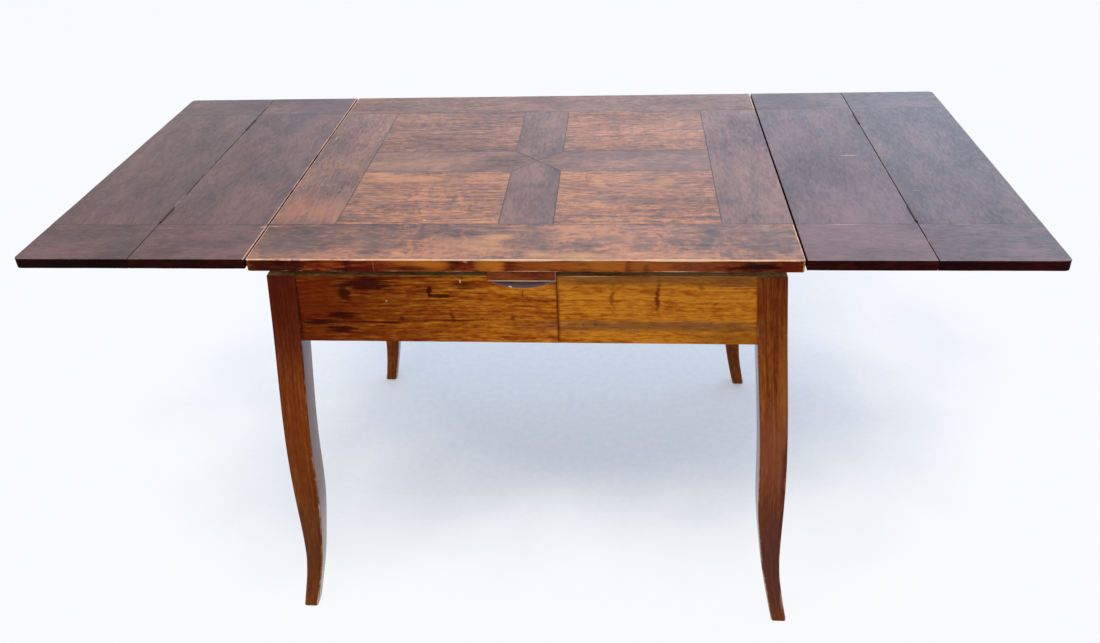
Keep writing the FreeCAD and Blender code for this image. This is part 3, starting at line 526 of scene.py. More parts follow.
class Tree:
    """The nodes of a material or of the world, with short ways to add the kinds that this table uses."""

    def __init__(self, owner: bpy.types.Material | bpy.types.World) -> None:
        """Starts the owner's nodes afresh."""
        owner.use_nodes = True
        self.owner = owner
        self.nodes = owner.node_tree.nodes
        self.links = owner.node_tree.links
        self.nodes.clear()

    def feed(self, socket: bpy.types.NodeSocket, source: object) -> None:
        """Links a flow to a socket, or sets the socket.

        Args:
            socket: the node's input.
            source: a flow, a number, three numbers, or a colour's code or light values.
        """
        if isinstance(source, Flow):
            self.links.new(source.socket, socket)
        elif socket.type == "RGBA":
            socket.default_value = (*(stain(source) if isinstance(source, int) else source), 1.0)
        elif socket.type == "VECTOR" and not isinstance(source, tuple):
            socket.default_value = (source, source, source)
        else:
            socket.default_value = source

    def flow(self, kind: str, inputs: dict, output: int | str = 0, **fields: object) -> Flow | None:
        """Adds a node.

        Args:
            kind: which node it is.
            inputs: what goes into each of its inputs, by name or number.
            output: which of its outputs is wanted.
            fields: the node's own settings.

        Returns:
            The flow out of it, or None for a node without an output.
        """
        node = self.nodes.new("ShaderNode" + kind)
        for key, value in fields.items():
            setattr(node, key, value)
        for key, value in inputs.items():
            self.feed(node.inputs[key], value)
        return Flow(self, node.outputs[output]) if node.outputs else None

    def noise(self, where: Flow, kind: Noise, output: int = 0) -> Flow:
        """Noise at a place.

        Args:
            where: the place, in metres.
            kind: what the noise is like.
            output: 0 for a number, 1 for three.

        Returns:
            The noise.
        """
        inputs = {"Vector": where * kind.scale, "Scale": 1.0, "Detail": kind.detail, "Roughness": kind.rough}
        return self.flow("TexNoise", inputs, output)

    def stirred(self, where: Flow, by: Flow, kind: Noise, reach: float | Point) -> Flow:
        """A place moved about by noise: where + 2 reach (noise - 0.5).

        Args:
            where: the place, in metres.
            by: the place that the noise is read at.
            kind: what the noise is like.
            reach: how far it moves along each axis, in metres.

        Returns:
            The moved place.
        """
        return where + (self.noise(by, kind, 1) - 0.5) * 2.0 * reach

    def step(self, value: Flow, low: float, high: float, shape: str = "SMOOTHSTEP") -> Flow:
        """A step from 0 at low to 1 at high; low may be the larger one."""
        inputs = {"Value": value, "From Min": low, "From Max": high}
        return self.flow("MapRange", inputs, interpolation_type=shape)

    def mix(self, share: object, first: object, second: object, kind: str = "MIX") -> Flow:
        """Two colours blended by a share."""
        return self.flow("Mix", {0: share, 6: first, 7: second}, 2, data_type="RGBA", blend_type=kind)

    def ramp(self, value: Flow, colours: Sequence[int], low: float, high: float) -> Flow:
        """A colour ramp.

        Args:
            value: the shade.
            colours: the codes of its evenly spaced colours.
            low: the shade of the first one.
            high: the shade of the last one.

        Returns:
            The colour.
        """
        node = self.nodes.new("ShaderNodeValToRGB")
        elements = node.color_ramp.elements
        while len(elements) < len(colours):
            elements.new(0.5)
        for element, place, colour in zip(elements, np.linspace(low, high, len(colours)), colours):
            element.position = place
            element.color = (*stain(colour), 1.0)
        self.feed(node.inputs[0], value)
        return Flow(self, node.outputs[0])

    def own(self, name: str) -> Flow:
        """A number or vector that the piece's points carry."""
        output = "Vector" if name == "grain" else "Fac"
        return self.flow("Attribute", {}, output, attribute_type="GEOMETRY", attribute_name=name)

    def place(self) -> Flow:
        """Where the point is on the table, in metres."""
        return self.flow("TexCoord", {}, "Object")

    def seen(self) -> Flow:
        """1 for a ray that looks at the background: from the camera, off a gloss or through glass."""
        rays = [self.flow("LightPath", {}, f"Is {kind} Ray") for kind in ("Camera", "Glossy", "Transmission")]
        return rays[0].then("MAXIMUM", rays[1]).then("MAXIMUM", rays[2])

    def end(self, surface: Flow) -> None:
        """Leads a shader to the owner's output."""
        kind = "World" if isinstance(self.owner, bpy.types.World) else "Material"
        self.flow("Output" + kind, {"Surface": surface})

    def finish(self, relief: Flow, height: float, inputs: dict) -> bpy.types.Material:
        """Ends a material in one surface shader.

        Args:
            relief: the height pattern.
            height: how far the pattern stands up, in metres.
            inputs: what goes into the shader.

        Returns:
            The material.
        """
        bump = self.flow("Bump", {"Strength": 1.0, "Distance": height, "Height": relief})
        self.end(self.flow("BsdfPrincipled", {**inputs, "Normal": bump}))
        return self.owner


# ---- finishes


class Cut(Enum):
    """How a mark ends: whether noise makes its edge ragged, and whether it is a box or an ellipsoid."""

    RAGGED = (True, False)
    CRISP = (False, False)
    RAGGED_BOX = (True, True)
    CRISP_BOX = (False, True)


@dataclass(frozen=True)
class Mark:
    """A stain, scratch, knot, worn patch, painted highlight, painted reflection or painted shade on the wood,
    at a place on the table in mm.

    Its mask is full inside the ellipsoid |(p - centre) / half| < 1 - soft and fades out at 1 + soft. A box
    takes the largest part of that vector for its length. A ragged mark's edge is pushed about more along the
    fibres than across them.
    """

    centre: Point
    half: Point
    colour: int
    strength: float
    soft: float
    cut: Cut = Cut.RAGGED

    def over(self, tree: Tree, colour: Flow, place: Flow, torn: object) -> Flow:
        """Lays the mark over a colour.

        Args:
            tree: the finish's nodes.
            colour: the colour under it.
            place: where the point is on the table, pushed about or not.
            torn: what is added to how far out the point lies.

        Returns:
            The colour with the mark on it.
        """
        centre, half = (tuple(value * MM for value in part) for part in (self.centre, self.half))
        away = (place - centre).then("DIVIDE", half)
        if self.cut.value[1]:
            apart = away.then("ABSOLUTE")
            x, y, z = (tree.flow("SeparateXYZ", {0: apart}, axis) for axis in range(3))
            away = x.then("MAXIMUM", y).then("MAXIMUM", z)
        else:
            away = away.then("LENGTH")
        mask = tree.step(away + torn, 1 + self.soft, 1 - self.soft) * self.strength
        return tree.mix(mask, colour, self.colour)


STREAK_BENDS = Noise((3.0, 3.0, 3.0))
STREAK_KINKS = Noise((17.0, 17.0, 17.0))
CLOUD_DRIFT = Noise((9.0, 9.0, 9.0))
CLOUDS = Noise((5.0, 12.0, 12.0), 6.0, 0.66)
FLECKS = Noise((60.0, 240.0, 240.0), 4.0, 0.7)
RINGS = Noise((1.3, 8.0, 8.0), 2.0, 0.45)
RING_PLACES = Noise((4.0, 9.0, 9.0))
CURL_DRIFT = Noise((16.0, 16.0, 16.0))
CURLS = Noise((120.0, 26.0, 26.0), 4.0, 0.66)
CURL_PLACES = Noise((6.0, 11.0, 11.0))
FIGURE_DRIFT = Noise((12.0, 12.0, 12.0))
FIGURE_KINKS = Noise((45.0, 45.0, 45.0))
FIGURES = Noise((24.0, 20.0, 20.0), 3.0, 0.55)
FIGURE_PLACES = Noise((4.0, 8.0, 8.0))
SHAKES = ((Noise((14.0, 70.0, 70.0), 3.0), 0.022), (Noise((60.0, 240.0, 240.0), 3.0), 0.008))
TEARS = Noise((28.0, 260.0, 260.0), 5.0, 0.7)
RUBS = Noise((11.0, 11.0, 11.0), 5.0, 0.72)
WAVES = Noise((16.0, 16.0, 16.0))
TARNISH = Noise((260.0, 260.0, 260.0), 4.0, 0.65)
SCRATCHES = Noise((1500.0, 120.0, 1500.0))


@dataclass(frozen=True)
class Wood:
    """A stained and rubbed wood finish.

    Its shade is 0.5 plus weighted parts: streaks stretched along the fibres, growth rings as the level lines
    sin(2 pi n k) of a stretched noise n, clouds where the stain took unevenly, curl across the fibres, pale
    figure along the lines where a warped noise crosses its middle, flecks, and the board's own tone. The
    shade picks a colour between dark, middle and light. Marks, grime in the joints and bare wood on worn
    arrises lie over it. Shake is how far a ragged mark's place is pushed about, and fray how much its edge is
    torn. The varnish is thinner where clouds and flecks are low.
    """

    name: str
    dark: int
    middle: int
    light: int
    bare: int
    streak: float = 1.0
    cloud: float = 1.0
    ring: float = 0.3
    curl: float = 0.0
    figure: float = 0.0
    fleck: float = 0.5
    fibre: Point = (4.0, 85.0, 85.0)
    shake: float = 1.0
    fray: float = 1.2
    sway: float = 0.010
    rough: float = 0.34
    specular: float = 0.5
    coat: float = 0.0
    patchy: float = 2.0
    marks: tuple[Mark, ...] = ()
    on_table: bool = False

    def make(self) -> bpy.types.Material:
        """Builds the finish's nodes and returns its material."""
        tree = Tree(bpy.data.materials.new(self.name))
        table = tree.place()
        grain = table if self.on_table else tree.own("grain")
        clouds = tree.noise(tree.stirred(grain, grain, CLOUD_DRIFT, 0.03), CLOUDS)
        bent = tree.stirred(grain, grain, STREAK_BENDS, self.sway)
        bent = tree.stirred(bent, bent, STREAK_KINKS, self.sway * 0.25)
        streaks = tree.noise(bent, Noise(self.fibre, 6.0, 0.66))
        flecks = tree.noise(bent, FLECKS)
        shade = (clouds - 0.5) * (2.2 * self.cloud) + (streaks - 0.5) * (1.7 * self.streak)
        shade = shade + (flecks - 0.5) * (1.2 * self.fleck) + 0.5
        shade = self.figured(tree, shade, grain, bent)
        if not self.on_table:
            shade = shade + tree.own("tone")
        colour = tree.ramp(shade, (self.dark, self.middle, self.light), 0.05, 0.95)
        colour = self.marked(tree, colour, grain, table)
        if not self.on_table:
            colour = self.aged(tree, colour, table)
        thin = flecks * 1.3 + clouds * 1.2 - 1.25
        coat = (thin * (self.coat * self.patchy)).then("ADD", self.coat, True) if self.coat else 0.0
        rough = ((clouds - 0.5) * 0.3).then("ADD", self.rough, True)
        relief = streaks * 0.5 + flecks * 0.35 + tree.noise(table, WAVES) * 2.2
        return tree.finish(relief, 0.00022, {"Base Color": colour, "Roughness": rough, "Coat Weight": coat,
                                             "Specular IOR Level": self.specular, "Coat Roughness": 0.2})

    def figured(self, tree: Tree, shade: Flow, grain: Flow, bent: Flow) -> Flow:
        """Adds the growth rings, the curl and the figure, each where its own noise lets it show.

        Args:
            tree: the finish's nodes.
            shade: the shade so far.
            grain: the place in the wood.
            bent: the same, bent as the fibres are.

        Returns:
            The shade with them.
        """
        if self.ring:
            wave = (tree.noise(bent, RINGS) * (2 * math.pi * 17)).then("SINE")
            shade = shade + wave * tree.step(tree.noise(grain, RING_PLACES), 0.36, 0.6) * (0.35 * self.ring)
        if self.curl:
            ripple = tree.noise(tree.stirred(grain, grain, CURL_DRIFT, 0.012), CURLS) - 0.5
            shade = shade + ripple * tree.step(tree.noise(grain, CURL_PLACES), 0.42, 0.66) * (2.6 * self.curl)
        if self.figure:
            place = tree.stirred(grain, grain, FIGURE_DRIFT, 0.022)
            swirl = tree.noise(tree.stirred(place, place, FIGURE_KINKS, 0.006), FIGURES)
            crest = tree.step((swirl - 0.5).then("ABSOLUTE"), 0.07, 0.0)
            places = tree.step(tree.noise(grain, FIGURE_PLACES), 0.42, 0.6)
            shade = shade + crest * places * (0.5 * self.figure)
        return shade

    def marked(self, tree: Tree, colour: Flow, grain: Flow, table: Flow) -> Flow:
        """Lays the marks over a colour, the ragged ones pushed about more along the fibres than across them.

        Args:
            tree: the finish's nodes.
            colour: the wood's colour.
            grain: the place in the wood.
            table: the place on the table.

        Returns:
            The colour with them.
        """
        shaken = table
        for kind, reach in SHAKES:
            push = reach * self.shake
            shaken = tree.stirred(shaken, grain, kind, (push, 0.3 * push, 0.3 * push))
        torn = (tree.noise(grain, TEARS) - 0.5) * self.fray
        for mark in self.marks:
            place = (shaken, torn) if mark.cut.value[0] else (table, 0.0)
            colour = mark.over(tree, colour, *place)
        return colour

    def aged(self, tree: Tree, colour: Flow, table: Flow) -> Flow:
        """Darkens a colour by the grime in the joints and bares the worn arrises.

        Args:
            tree: the finish's nodes.
            colour: the wood's colour.
            table: the place on the table.

        Returns:
            The colour with both.
        """
        dirty = tree.mix(1.0, colour, (0.14, 0.10, 0.10), "MULTIPLY")
        colour = tree.mix(tree.own("grime") * 0.85, colour, dirty)
        rub = (tree.noise(table, RUBS) - 0.5) * 2.2
        return tree.mix(tree.step(tree.own("wear") + rub, 0.5, 1.05), colour, self.bare)


@dataclass(frozen=True)
class Metal:
    """A plain metal with tarnish: its colour and roughness shift between clean and dull by noise."""

    name: str
    clean: int
    dull: int
    rough: float
    metallic: float

    def make(self) -> bpy.types.Material:
        """Builds the finish's nodes and returns its material."""
        tree = Tree(bpy.data.materials.new(self.name))
        table = tree.place()
        spots = tree.noise(table, TARNISH)
        colour = tree.mix(tree.step(spots, 0.38, 0.66), self.clean, self.dull)
        rough = ((spots - 0.5) * 0.5).then("ADD", self.rough, True)
        return tree.finish(tree.noise(table, SCRATCHES), 0.00004,
                           {"Base Color": colour, "Roughness": rough, "Metallic": self.metallic})


MARK_DEPTH = 12  # how far a mark reaches in and out of its face, in mm


class Face(Enum):
    """A face of the table that marks lie on: the axis across it, and where it is along that axis, in mm."""

    TOP = (2, 760)
    EDGE = (1, -345)
    APRON = (1, -323)

    def marks(self, *rows: tuple) -> tuple[Mark, ...]:
        """Makes the marks on this face.

        Args:
            rows: for each mark its place and its half size, two numbers each along the face, its colour,
                strength and softness, and its cut where it isn't a ragged one.

        Returns:
            The marks, which reach a little in and out of the face.
        """
        axis, level = self.value
        found = []
        for row in rows:
            place, half = (*row[:axis], level, *row[axis:2]), (*row[2:2 + axis], MARK_DEPTH, *row[2 + axis:4])
            found.append(Mark(place, half, *row[4:]))
        return tuple(found)


CRISP, BOXED, CRISP_BOX = Cut.CRISP, Cut.RAGGED_BOX, Cut.CRISP_BOX
AMBER = 0xC98A4E
PEACH = 0xB87850
EMBER = 0xB0602E
NIGHT = 0x2A120C
DUSK = 0x3C2018
PALE = 0xE0C4A0

TOP_MARKS = Face.TOP.marks(
    (-371, -290, 62, 50, DUSK, 0.8, 0.8), (-230, -288, 30, 30, DUSK, 0.65, 0.8),
    (-83, -254, 72, 14, DUSK, 0.55, 0.8), (19, -284, 28, 44, DUSK, 0.65, 0.7),
    (137, -280, 24, 12, DUSK, 0.6, 0.7), (95, -300, 20, 14, DUSK, 0.5, 0.7),
    (181, -304, 22, 12, DUSK, 0.55, 0.7), (288, -268, 17, 26, DUSK, 0.6, 0.7),
    (365, -300, 60, 40, DUSK, 0.4, 0.9), (-62, -300, 34, 22, AMBER, 0.5, 0.7),
    (-40, -274, 26, 7, AMBER, 0.6, 0.6), (-190, -328, 9, 8, AMBER, 0.7, 0.6),
    (23, -328, 18, 9, AMBER, 0.65, 0.6), (75, -334, 50, 9, AMBER, 0.6, 0.7),
    (178, -328, 12, 6, AMBER, 0.65, 0.6), (-150, -334, 60, 7, PEACH, 0.4, 0.7),
    (-300, -332, 40, 8, PEACH, 0.3, 0.7), (-120, -300, 22, 30, PEACH, 0.3, 0.8),
    (240, -330, 60, 9, PEACH, 0.3, 0.8), (395, -338, 14, 6, PEACH, 0.4, 0.8),
    (-395, -185, 22, 44, EMBER, 0.5, 0.8), (-338, -190, 24, 40, EMBER, 0.4, 0.8),
    (-220, 0, 80, 22, AMBER, 0.25, 0.9), (400, -261, 19, 0.8, NIGHT, 0.9, 0.4, CRISP),
    (379, -244, 5, 8, PALE, 0.2, 0.9), (77, 23, 5, 1.6, NIGHT, 0.8, 0.5, CRISP),
    (-407, 123, 1.0, 11, PALE, 0.4, 0.6, CRISP), (183, 53.6, 34, 1.2, NIGHT, 0.9, 0.4, CRISP),
    (-177, 53.9, 134, 1.2, NIGHT, 0.9, 0.4, CRISP), (-406, -240, 7, 1.2, PALE, 0.45, 0.7),
)
EDGE_MARKS = Face.EDGE.marks(
    (-374, 750, 50, 20, 0x2E0302, 0.9, 0.25, BOXED), (-362, 747, 24, 1.2, 0x4A2414, 0.5, 0.6),
    (-300, 752, 30, 7, 0x6A1A08, 0.5, 0.6), (-290, 752, 11, 4, 0xA04614, 0.55, 0.6),
    (-262, 750, 6, 20, 0x300804, 0.75, 0.3, BOXED), (-225, 749, 34, 14, 0x5A1205, 0.7, 0.6),
    (-222, 750, 0.7, 10, 0x8A5A38, 0.6, 0.5, CRISP), (-155, 754, 46, 5, 0xA85416, 0.7, 0.7),
    (-132, 751, 24, 9, 0xBA661C, 0.75, 0.7), (-170, 744, 40, 3.5, 0x440E05, 0.75, 0.5),
    (-97, 750, 10, 14, 0x420C05, 0.8, 0.5), (-80, 749, 12, 10, 0x6E1E0A, 0.6, 0.5),
    (-80, 756, 3, 0.9, PALE, 0.6, 0.6), (-56, 752, 12, 10, 0xB0621C, 0.8, 0.5),
    (-36, 751, 15, 12, 0xC06C1A, 0.85, 0.6), (-14, 750, 7, 18, 0x5E200C, 0.7, 0.4),
    (27, 751, 30, 12, 0x9C501A, 0.75, 0.6), (78, 752, 28, 12, 0xA8581C, 0.7, 0.7),
    (103, 747, 2.5, 6, 0x4A180A, 0.7, 0.5), (130, 751, 34, 13, 0xB06420, 0.8, 0.6),
    (165, 749, 4, 14, 0x4A160A, 0.65, 0.5), (180, 751, 14, 12, 0xA0541E, 0.75, 0.5),
    (190, 746, 4, 6, 0x3A0E08, 0.6, 0.5), (210, 751, 20, 12, 0x9C521E, 0.65, 0.6),
    (262, 751, 38, 14, 0x844224, 0.65, 0.6), (350, 751, 44, 18, 0x481A12, 0.65, 0.6),
    (353, 749, 33, 3.2, 0x1A0504, 0.85, 0.35, BOXED), (402, 750, 14, 18, 0x5A160A, 0.8, 0.4),
) + (Mark((418.6, -345, 750), (1.6, 5, 20), 0xC8A050, 0.8, 0.4, CRISP),)
PANEL_MARKS = Face.TOP.marks(
    (-161, -76, 9, 5, NIGHT, 0.75, 0.7), (-130, -152, 4, 17, NIGHT, 0.6, 0.8),
    (-211, -136, 4, 15, NIGHT, 0.5, 0.8), (-225, -66, 70, 16, 0xC27A3A, 0.5, 0.8),
    (-195, -58, 24, 7, 0xD48C48, 0.4, 0.7), (112, -80, 7, 13, AMBER, 0.7, 0.7),
    (227, -82, 15, 11, AMBER, 0.5, 0.8), (238, -98, 12, 7, NIGHT, 0.35, 0.8),
    (160, -148, 90, 7, NIGHT, 0.4, 0.9), (110, 85, 60, 12, PEACH, 0.3, 0.9),
    (-166, -219, 2.5, 1.5, PALE, 0.8, 0.5, CRISP),
)
LEAF_MARKS = Face.TOP.marks(
    (-590, -245, 165, 0.8, 0xA87860, 0.3, 0.5, CRISP), (500, -234.5, 28, 0.9, PALE, 0.5, 0.5, CRISP),
    (676, -234, 12, 0.9, PALE, 0.6, 0.5, CRISP), (558, 25, 17, 1.0, PALE, 0.65, 0.5, CRISP),
    (634, -117, 6, 1.0, PALE, 0.4, 0.5, CRISP), (-773, -1, 5, 14, NIGHT, 0.6, 0.6),
    (472, 140, 12, 40, 0x6A3024, 0.5, 0.9), (505, 80, 16, 40, 0x6A3024, 0.5, 0.9),
    (520, -290, 90, 50, 0x6E3C30, 0.5, 0.9), (560, -120, 40, 60, 0x6A3C34, 0.45, 0.9),
    (-618, 170, 13, 200, NIGHT, 0.5, 0.9), (-620, -60, 12, 130, NIGHT, 0.35, 0.9),
    (-640, -300, 26, 46, NIGHT, 0.5, 0.9), (-560, -140, 34, 90, NIGHT, 0.35, 0.9),
    (-505, 190, 16, 90, NIGHT, 0.3, 0.9), (-480, -30, 34, 50, NIGHT, 0.35, 0.9),
    (640, -130, 14, 34, NIGHT, 0.5, 0.9), (668, -190, 16, 34, NIGHT, 0.5, 0.9),
    (-425, -241, 3, 3, PALE, 0.5, 0.7),
)
APRON_MARKS = (Mark((-340, -323, 660), (195, 14, 170), 0x5A0C01, 0.88, 0.9),)
APRON_MARKS += Face.APRON.marks(
    (-247, 703, 38, 12, 0x3A0A03, 0.92, 0.4), (-282, 687, 9, 15, 0x3A0A03, 0.9, 0.4),
    (-293, 644, 24, 7, 0x330903, 0.92, 0.4), (-335, 632, 27, 5.5, 0x330903, 0.92, 0.4),
    (-295, 619, 25, 6, 0x330903, 0.9, 0.4), (-146, 688, 4, 10, 0x380C02, 0.92, 0.3),
    (-128, 682, 20, 4, 0x380C02, 0.9, 0.35), (-194, 639, 4.5, 4.5, 0x4A1404, 0.8, 0.5),
    (-114, 642, 3, 8, 0x4A1404, 0.75, 0.5), (-17, 642, 3, 6, 0x4A1404, 0.7, 0.5),
    (-245, 632, 64, 1.4, 0x300903, 0.85, 0.6), (-140, 636.5, 60, 1.2, 0x4A1404, 0.7, 0.6),
    (-30, 637, 60, 1.0, 0x5A2008, 0.5, 0.6), (0, 687, 1.2, 7, 0x5A2008, 0.7, 0.5, CRISP),
    (-90, 703, 16, 8, 0x4A1404, 0.8, 0.6), (-96, 709, 1.0, 3.2, PALE, 0.95, 0.5, CRISP),
    (-216, 672, 1.2, 1.8, PALE, 0.6, 0.6, CRISP), (139, 679, 3, 20, 0x86380E, 0.75, 0.7),
    (208, 682, 3.2, 26, 0x601E08, 0.85, 0.6), (195, 691, 9, 4, 0x7A4020, 0.6, 0.7),
    (274, 698, 4, 3, 0x6A2808, 0.6, 0.7), (294, 669, 3, 4, 0x6A2808, 0.6, 0.7),
    (92, 630, 3, 3, 0x5A2008, 0.7, 0.7), (111, 630, 3, 3, 0x5A2008, 0.7, 0.7),
    (203, 628, 165, 9, 0x70452A, 0.7, 0.5, BOXED), (330, 606, 60, 14, 0x70380F, 0.55, 0.8),
    (210, 712, 165, 8, 0x7A4A26, 0.62, 0.5, BOXED), (330, 708, 34, 8, 0x5A3018, 0.5, 0.6, BOXED),
    # The first mark on this line is a painted highlight along the right front apron's top arris, where it
    # catches the light under the top.
    (106, 718.6, 37, 0.8, PALE, 0.8, 0.5, CRISP), (321, 700, 36, 0.7, AMBER, 0.5, 0.5, CRISP),
    (54, 656, 2.6, 64, 0x7A2C0E, 0.7, 0.7, CRISP_BOX),
)
# Painted reflection and highlight: a pale grey-mauve sheen over the arc recess under the batten, which lies
# in shade, and a white painted highlight in it.
RECESS_PAINTED_SHEEN = (
    Mark((0, -312, 700), (52, 14, 9), 0x907A80, 0.85, 0.3, CRISP_BOX),
    Mark((-19, -322, 697), (3, 3, 3), 0xFFFFFF, 1.0, 0.5, CRISP),
)
# Painted highlight, partly wear, on the lower arris of the batten's end; a faint pale line up its right
# arris; and painted shade in a dark band along its top, just under the top's overhang.
BATTEN_MARKS = (
    Mark((0, -323.5, 709.9), (50, 6, 0.8), PALE, 0.8, 0.4, CRISP_BOX),
    Mark((52.4, -323.5, 724), (0.8, 6, 15), PALE, 0.3, 0.5, CRISP_BOX),
    Mark((0, -323.5, 733), (60, 6, 6), 0x2E1006, 0.6, 0.6, CRISP_BOX),
)
LEAF_EDGE_MARKS = (
    Mark((-720, -345, 751), (100, 14, 20), 0x0C0202, 0.75, 0.3),
    Mark((-520, -345, 751), (80, 14, 20), 0x160303, 0.5, 0.5),
)
LEG_SIDE_MARKS = tuple(Mark((x, y, 700), (70, 70, 150), 0x4A0802, 0.85 if x < 0 else 0.45, 0.7)
                       for x in (-400, 400) for y in (-325, 325))
LEG_MARKS = LEG_SIDE_MARKS + (
    Mark((-415, -345, 400), (60, 60, 150), 0x743408, 0.45, 0.7),
    Mark((-425, -350, 130), (60, 60, 120), 0x5E3418, 0.6, 0.7),
    Mark((425, -350, 390), (60, 60, 90), 0x8A4A34, 0.6, 0.7),
    Mark((430, -350, 150), (60, 60, 150), 0x5A3028, 0.85, 0.7),
    Mark((410, -348, 560), (9, 60, 90), 0xA05A1C, 0.5, 0.7),
    Mark((425, -348, 500), (4, 60, 260), 0x4A1408, 0.65, 0.6),
    Mark((410, 350, 200), (80, 70, 260), 0x5A2C12, 0.4, 0.7),
    Mark((443, -352, 75), (5, 14, 40), 0xC8A068, 0.6, 0.5),
)


class Finish(Enum):
    """The finishes of this table's pieces."""

    RAIL = Wood("rail_stain", 0x34180F, 0x72402A, 0xB46A34, 0xE2B48C, streak=0.6, cloud=0.72, curl=0.45,
                figure=0.5, fleck=1.4, fibre=(5.0, 120.0, 120.0), sway=0.022, rough=0.33, coat=0.7,
                marks=TOP_MARKS)
    STILE = Wood("stile_stain", 0x3A1A12, 0x70402C, 0xA46438, 0xE2B48C, streak=0.4, cloud=0.55, ring=0.2,
                 curl=0.2, figure=0.2, fleck=0.9, fibre=(5.0, 120.0, 120.0), sway=0.022, rough=0.33, coat=0.7,
                 marks=TOP_MARKS)
    BAR = Wood("bar_stain", 0x38191A, 0x60372C, 0x844E38, 0xC89468, streak=0.35, ring=0.2, figure=0.25,
               fleck=0.8, coat=0.7, marks=TOP_MARKS)
    PANEL = Wood("panel_stain", 0x3E1E12, 0x8A5030, 0xC4783C, 0xE0A870, streak=0.9, cloud=0.45, curl=0.3,
                 figure=0.4, fleck=1.4, fibre=(4.0, 180.0, 180.0), sway=0.02, rough=0.36, coat=0.65,
                 marks=PANEL_MARKS)
    LEAF = Wood("leaf_stain", 0x2A1110, 0x4A2120, 0x74382A, 0xC0907C, streak=0.2, cloud=0.65, ring=0.1,
                fleck=0.4, sway=0.02, rough=0.32, coat=0.7, marks=LEAF_MARKS)
    TOP_EDGE = Wood("top_edge_stain", 0x280402, 0x621806, 0x9A4610, 0xE2B48C, streak=1.1, cloud=1.1,
                    fleck=2.0, fibre=(8.0, 120.0, 120.0), shake=0.4, fray=2.2, rough=0.4, specular=0.03,
                    marks=EDGE_MARKS)
    LEAF_EDGE = Wood("leaf_edge_stain", 0x0E0303, 0x220605, 0x42100A, 0x9C7468, streak=0.5, cloud=0.8,
                     ring=0.2, fleck=0.6, shake=0.4, rough=0.4, specular=0.02, marks=LEAF_EDGE_MARKS)
    # The apron's stain; one of its marks paints a highlight on the right front apron's top arris.
    APRON = Wood("apron_stain", 0x5A1E08, 0xA6520E, 0xD08020, 0xD8A468, streak=0.95, cloud=0.3, fleck=1.5,
                 fibre=(2.0, 260.0, 260.0), sway=0.012, shake=0.35, fray=2.6, rough=0.42, specular=0.02,
                 marks=APRON_MARKS)
    # Dust on the aprons' upper edges and the legs' tops; its marks also paint a sheen and a highlight in the
    # shaded recess under the batten.
    DUSTY_AND_SHEEN = Wood("dusty_arris_and_recess_sheen", 0x4A3A1C, 0x8A6434, 0xB89868, 0xC8AC84, streak=0.5, cloud=0.8, fleck=1.2,
                 shake=0.4, rough=0.6, specular=0.2, marks=RECESS_PAINTED_SHEEN)
    LEG = Wood("leg_stain", 0x481606, 0x803C12, 0xAC6424, 0xD8B498, streak=0.9, cloud=0.22, ring=0.1,
               fleck=0.8, fibre=(3.0, 300.0, 300.0), shake=0.5, sway=0.004, rough=0.38, specular=0.03,
               marks=LEG_MARKS)
    # The face of each leg that faces its neighbour: the leg's stain with a painted sheen, greyer and more
    # mauve to stand for the pale floor's reflection, beside its real coat.
    LEG_SIDE = Wood("leg_side_stain", 0x4A2016, 0x804634, 0x9C6848, 0xD8B498, streak=0.6, cloud=0.3,
                    ring=0.1, fibre=(2.0, 160.0, 160.0), sway=0.004, rough=0.3, specular=0.2, coat=0.55,
                    patchy=0.6, marks=LEG_SIDE_MARKS)
    UNDER = Wood("dull_underside", 0x4A3426, 0x6E5038, 0x8C6A4C, 0x9C7C5C, streak=0.8, cloud=0.6, rough=0.62,
                 specular=0.3)
    BEECH = Wood("plain_beech", 0x6E4A30, 0x946A48, 0xB08860, 0xB89470, streak=0.8, cloud=0.5, rough=0.6,
                 specular=0.3, on_table=True)
    BATTEN = Wood("batten_end_grain", 0x3A1006, 0x7C3410, 0x984C1C, 0xB89470, streak=0.4, cloud=0.8,
                  fleck=1.2, rough=0.5, specular=0.05, on_table=True, marks=BATTEN_MARKS)
    BRASS = Metal("aged_brass", 0x4A2620, 0x30181A, 0.4, 0.25)
    STEEL = Metal("dull_zinc", 0x8C8A86, 0x4C4844, 0.45, 1.0)


def seed_of(name: str) -> int:
    """A number that is the same for a name in each run."""
    return sum((index + 3) * ord(letter) for index, letter in enumerate(name))


def rectangle(x: Pair, y: Pair) -> list[Pair]:
    """The four corners of a rectangle, anticlockwise from its low corner."""
    return [(x[0], y[0]), (x[1], y[0]), (x[1], y[1]), (x[0], y[1])]


def mirrored(stretch: Pair) -> Pair:
    """The same stretch on the other side of the middle."""
    return -stretch[1], -stretch[0]


@dataclass(frozen=True)
class Stock:
    """What boards of one kind share: the record's slot, plane, faces, finishes and flat strips."""

    slot: str
    plane: Plane
    faces: Pair
    finishes: tuple[Finish, Finish, Finish]
    flat: float = 1.0


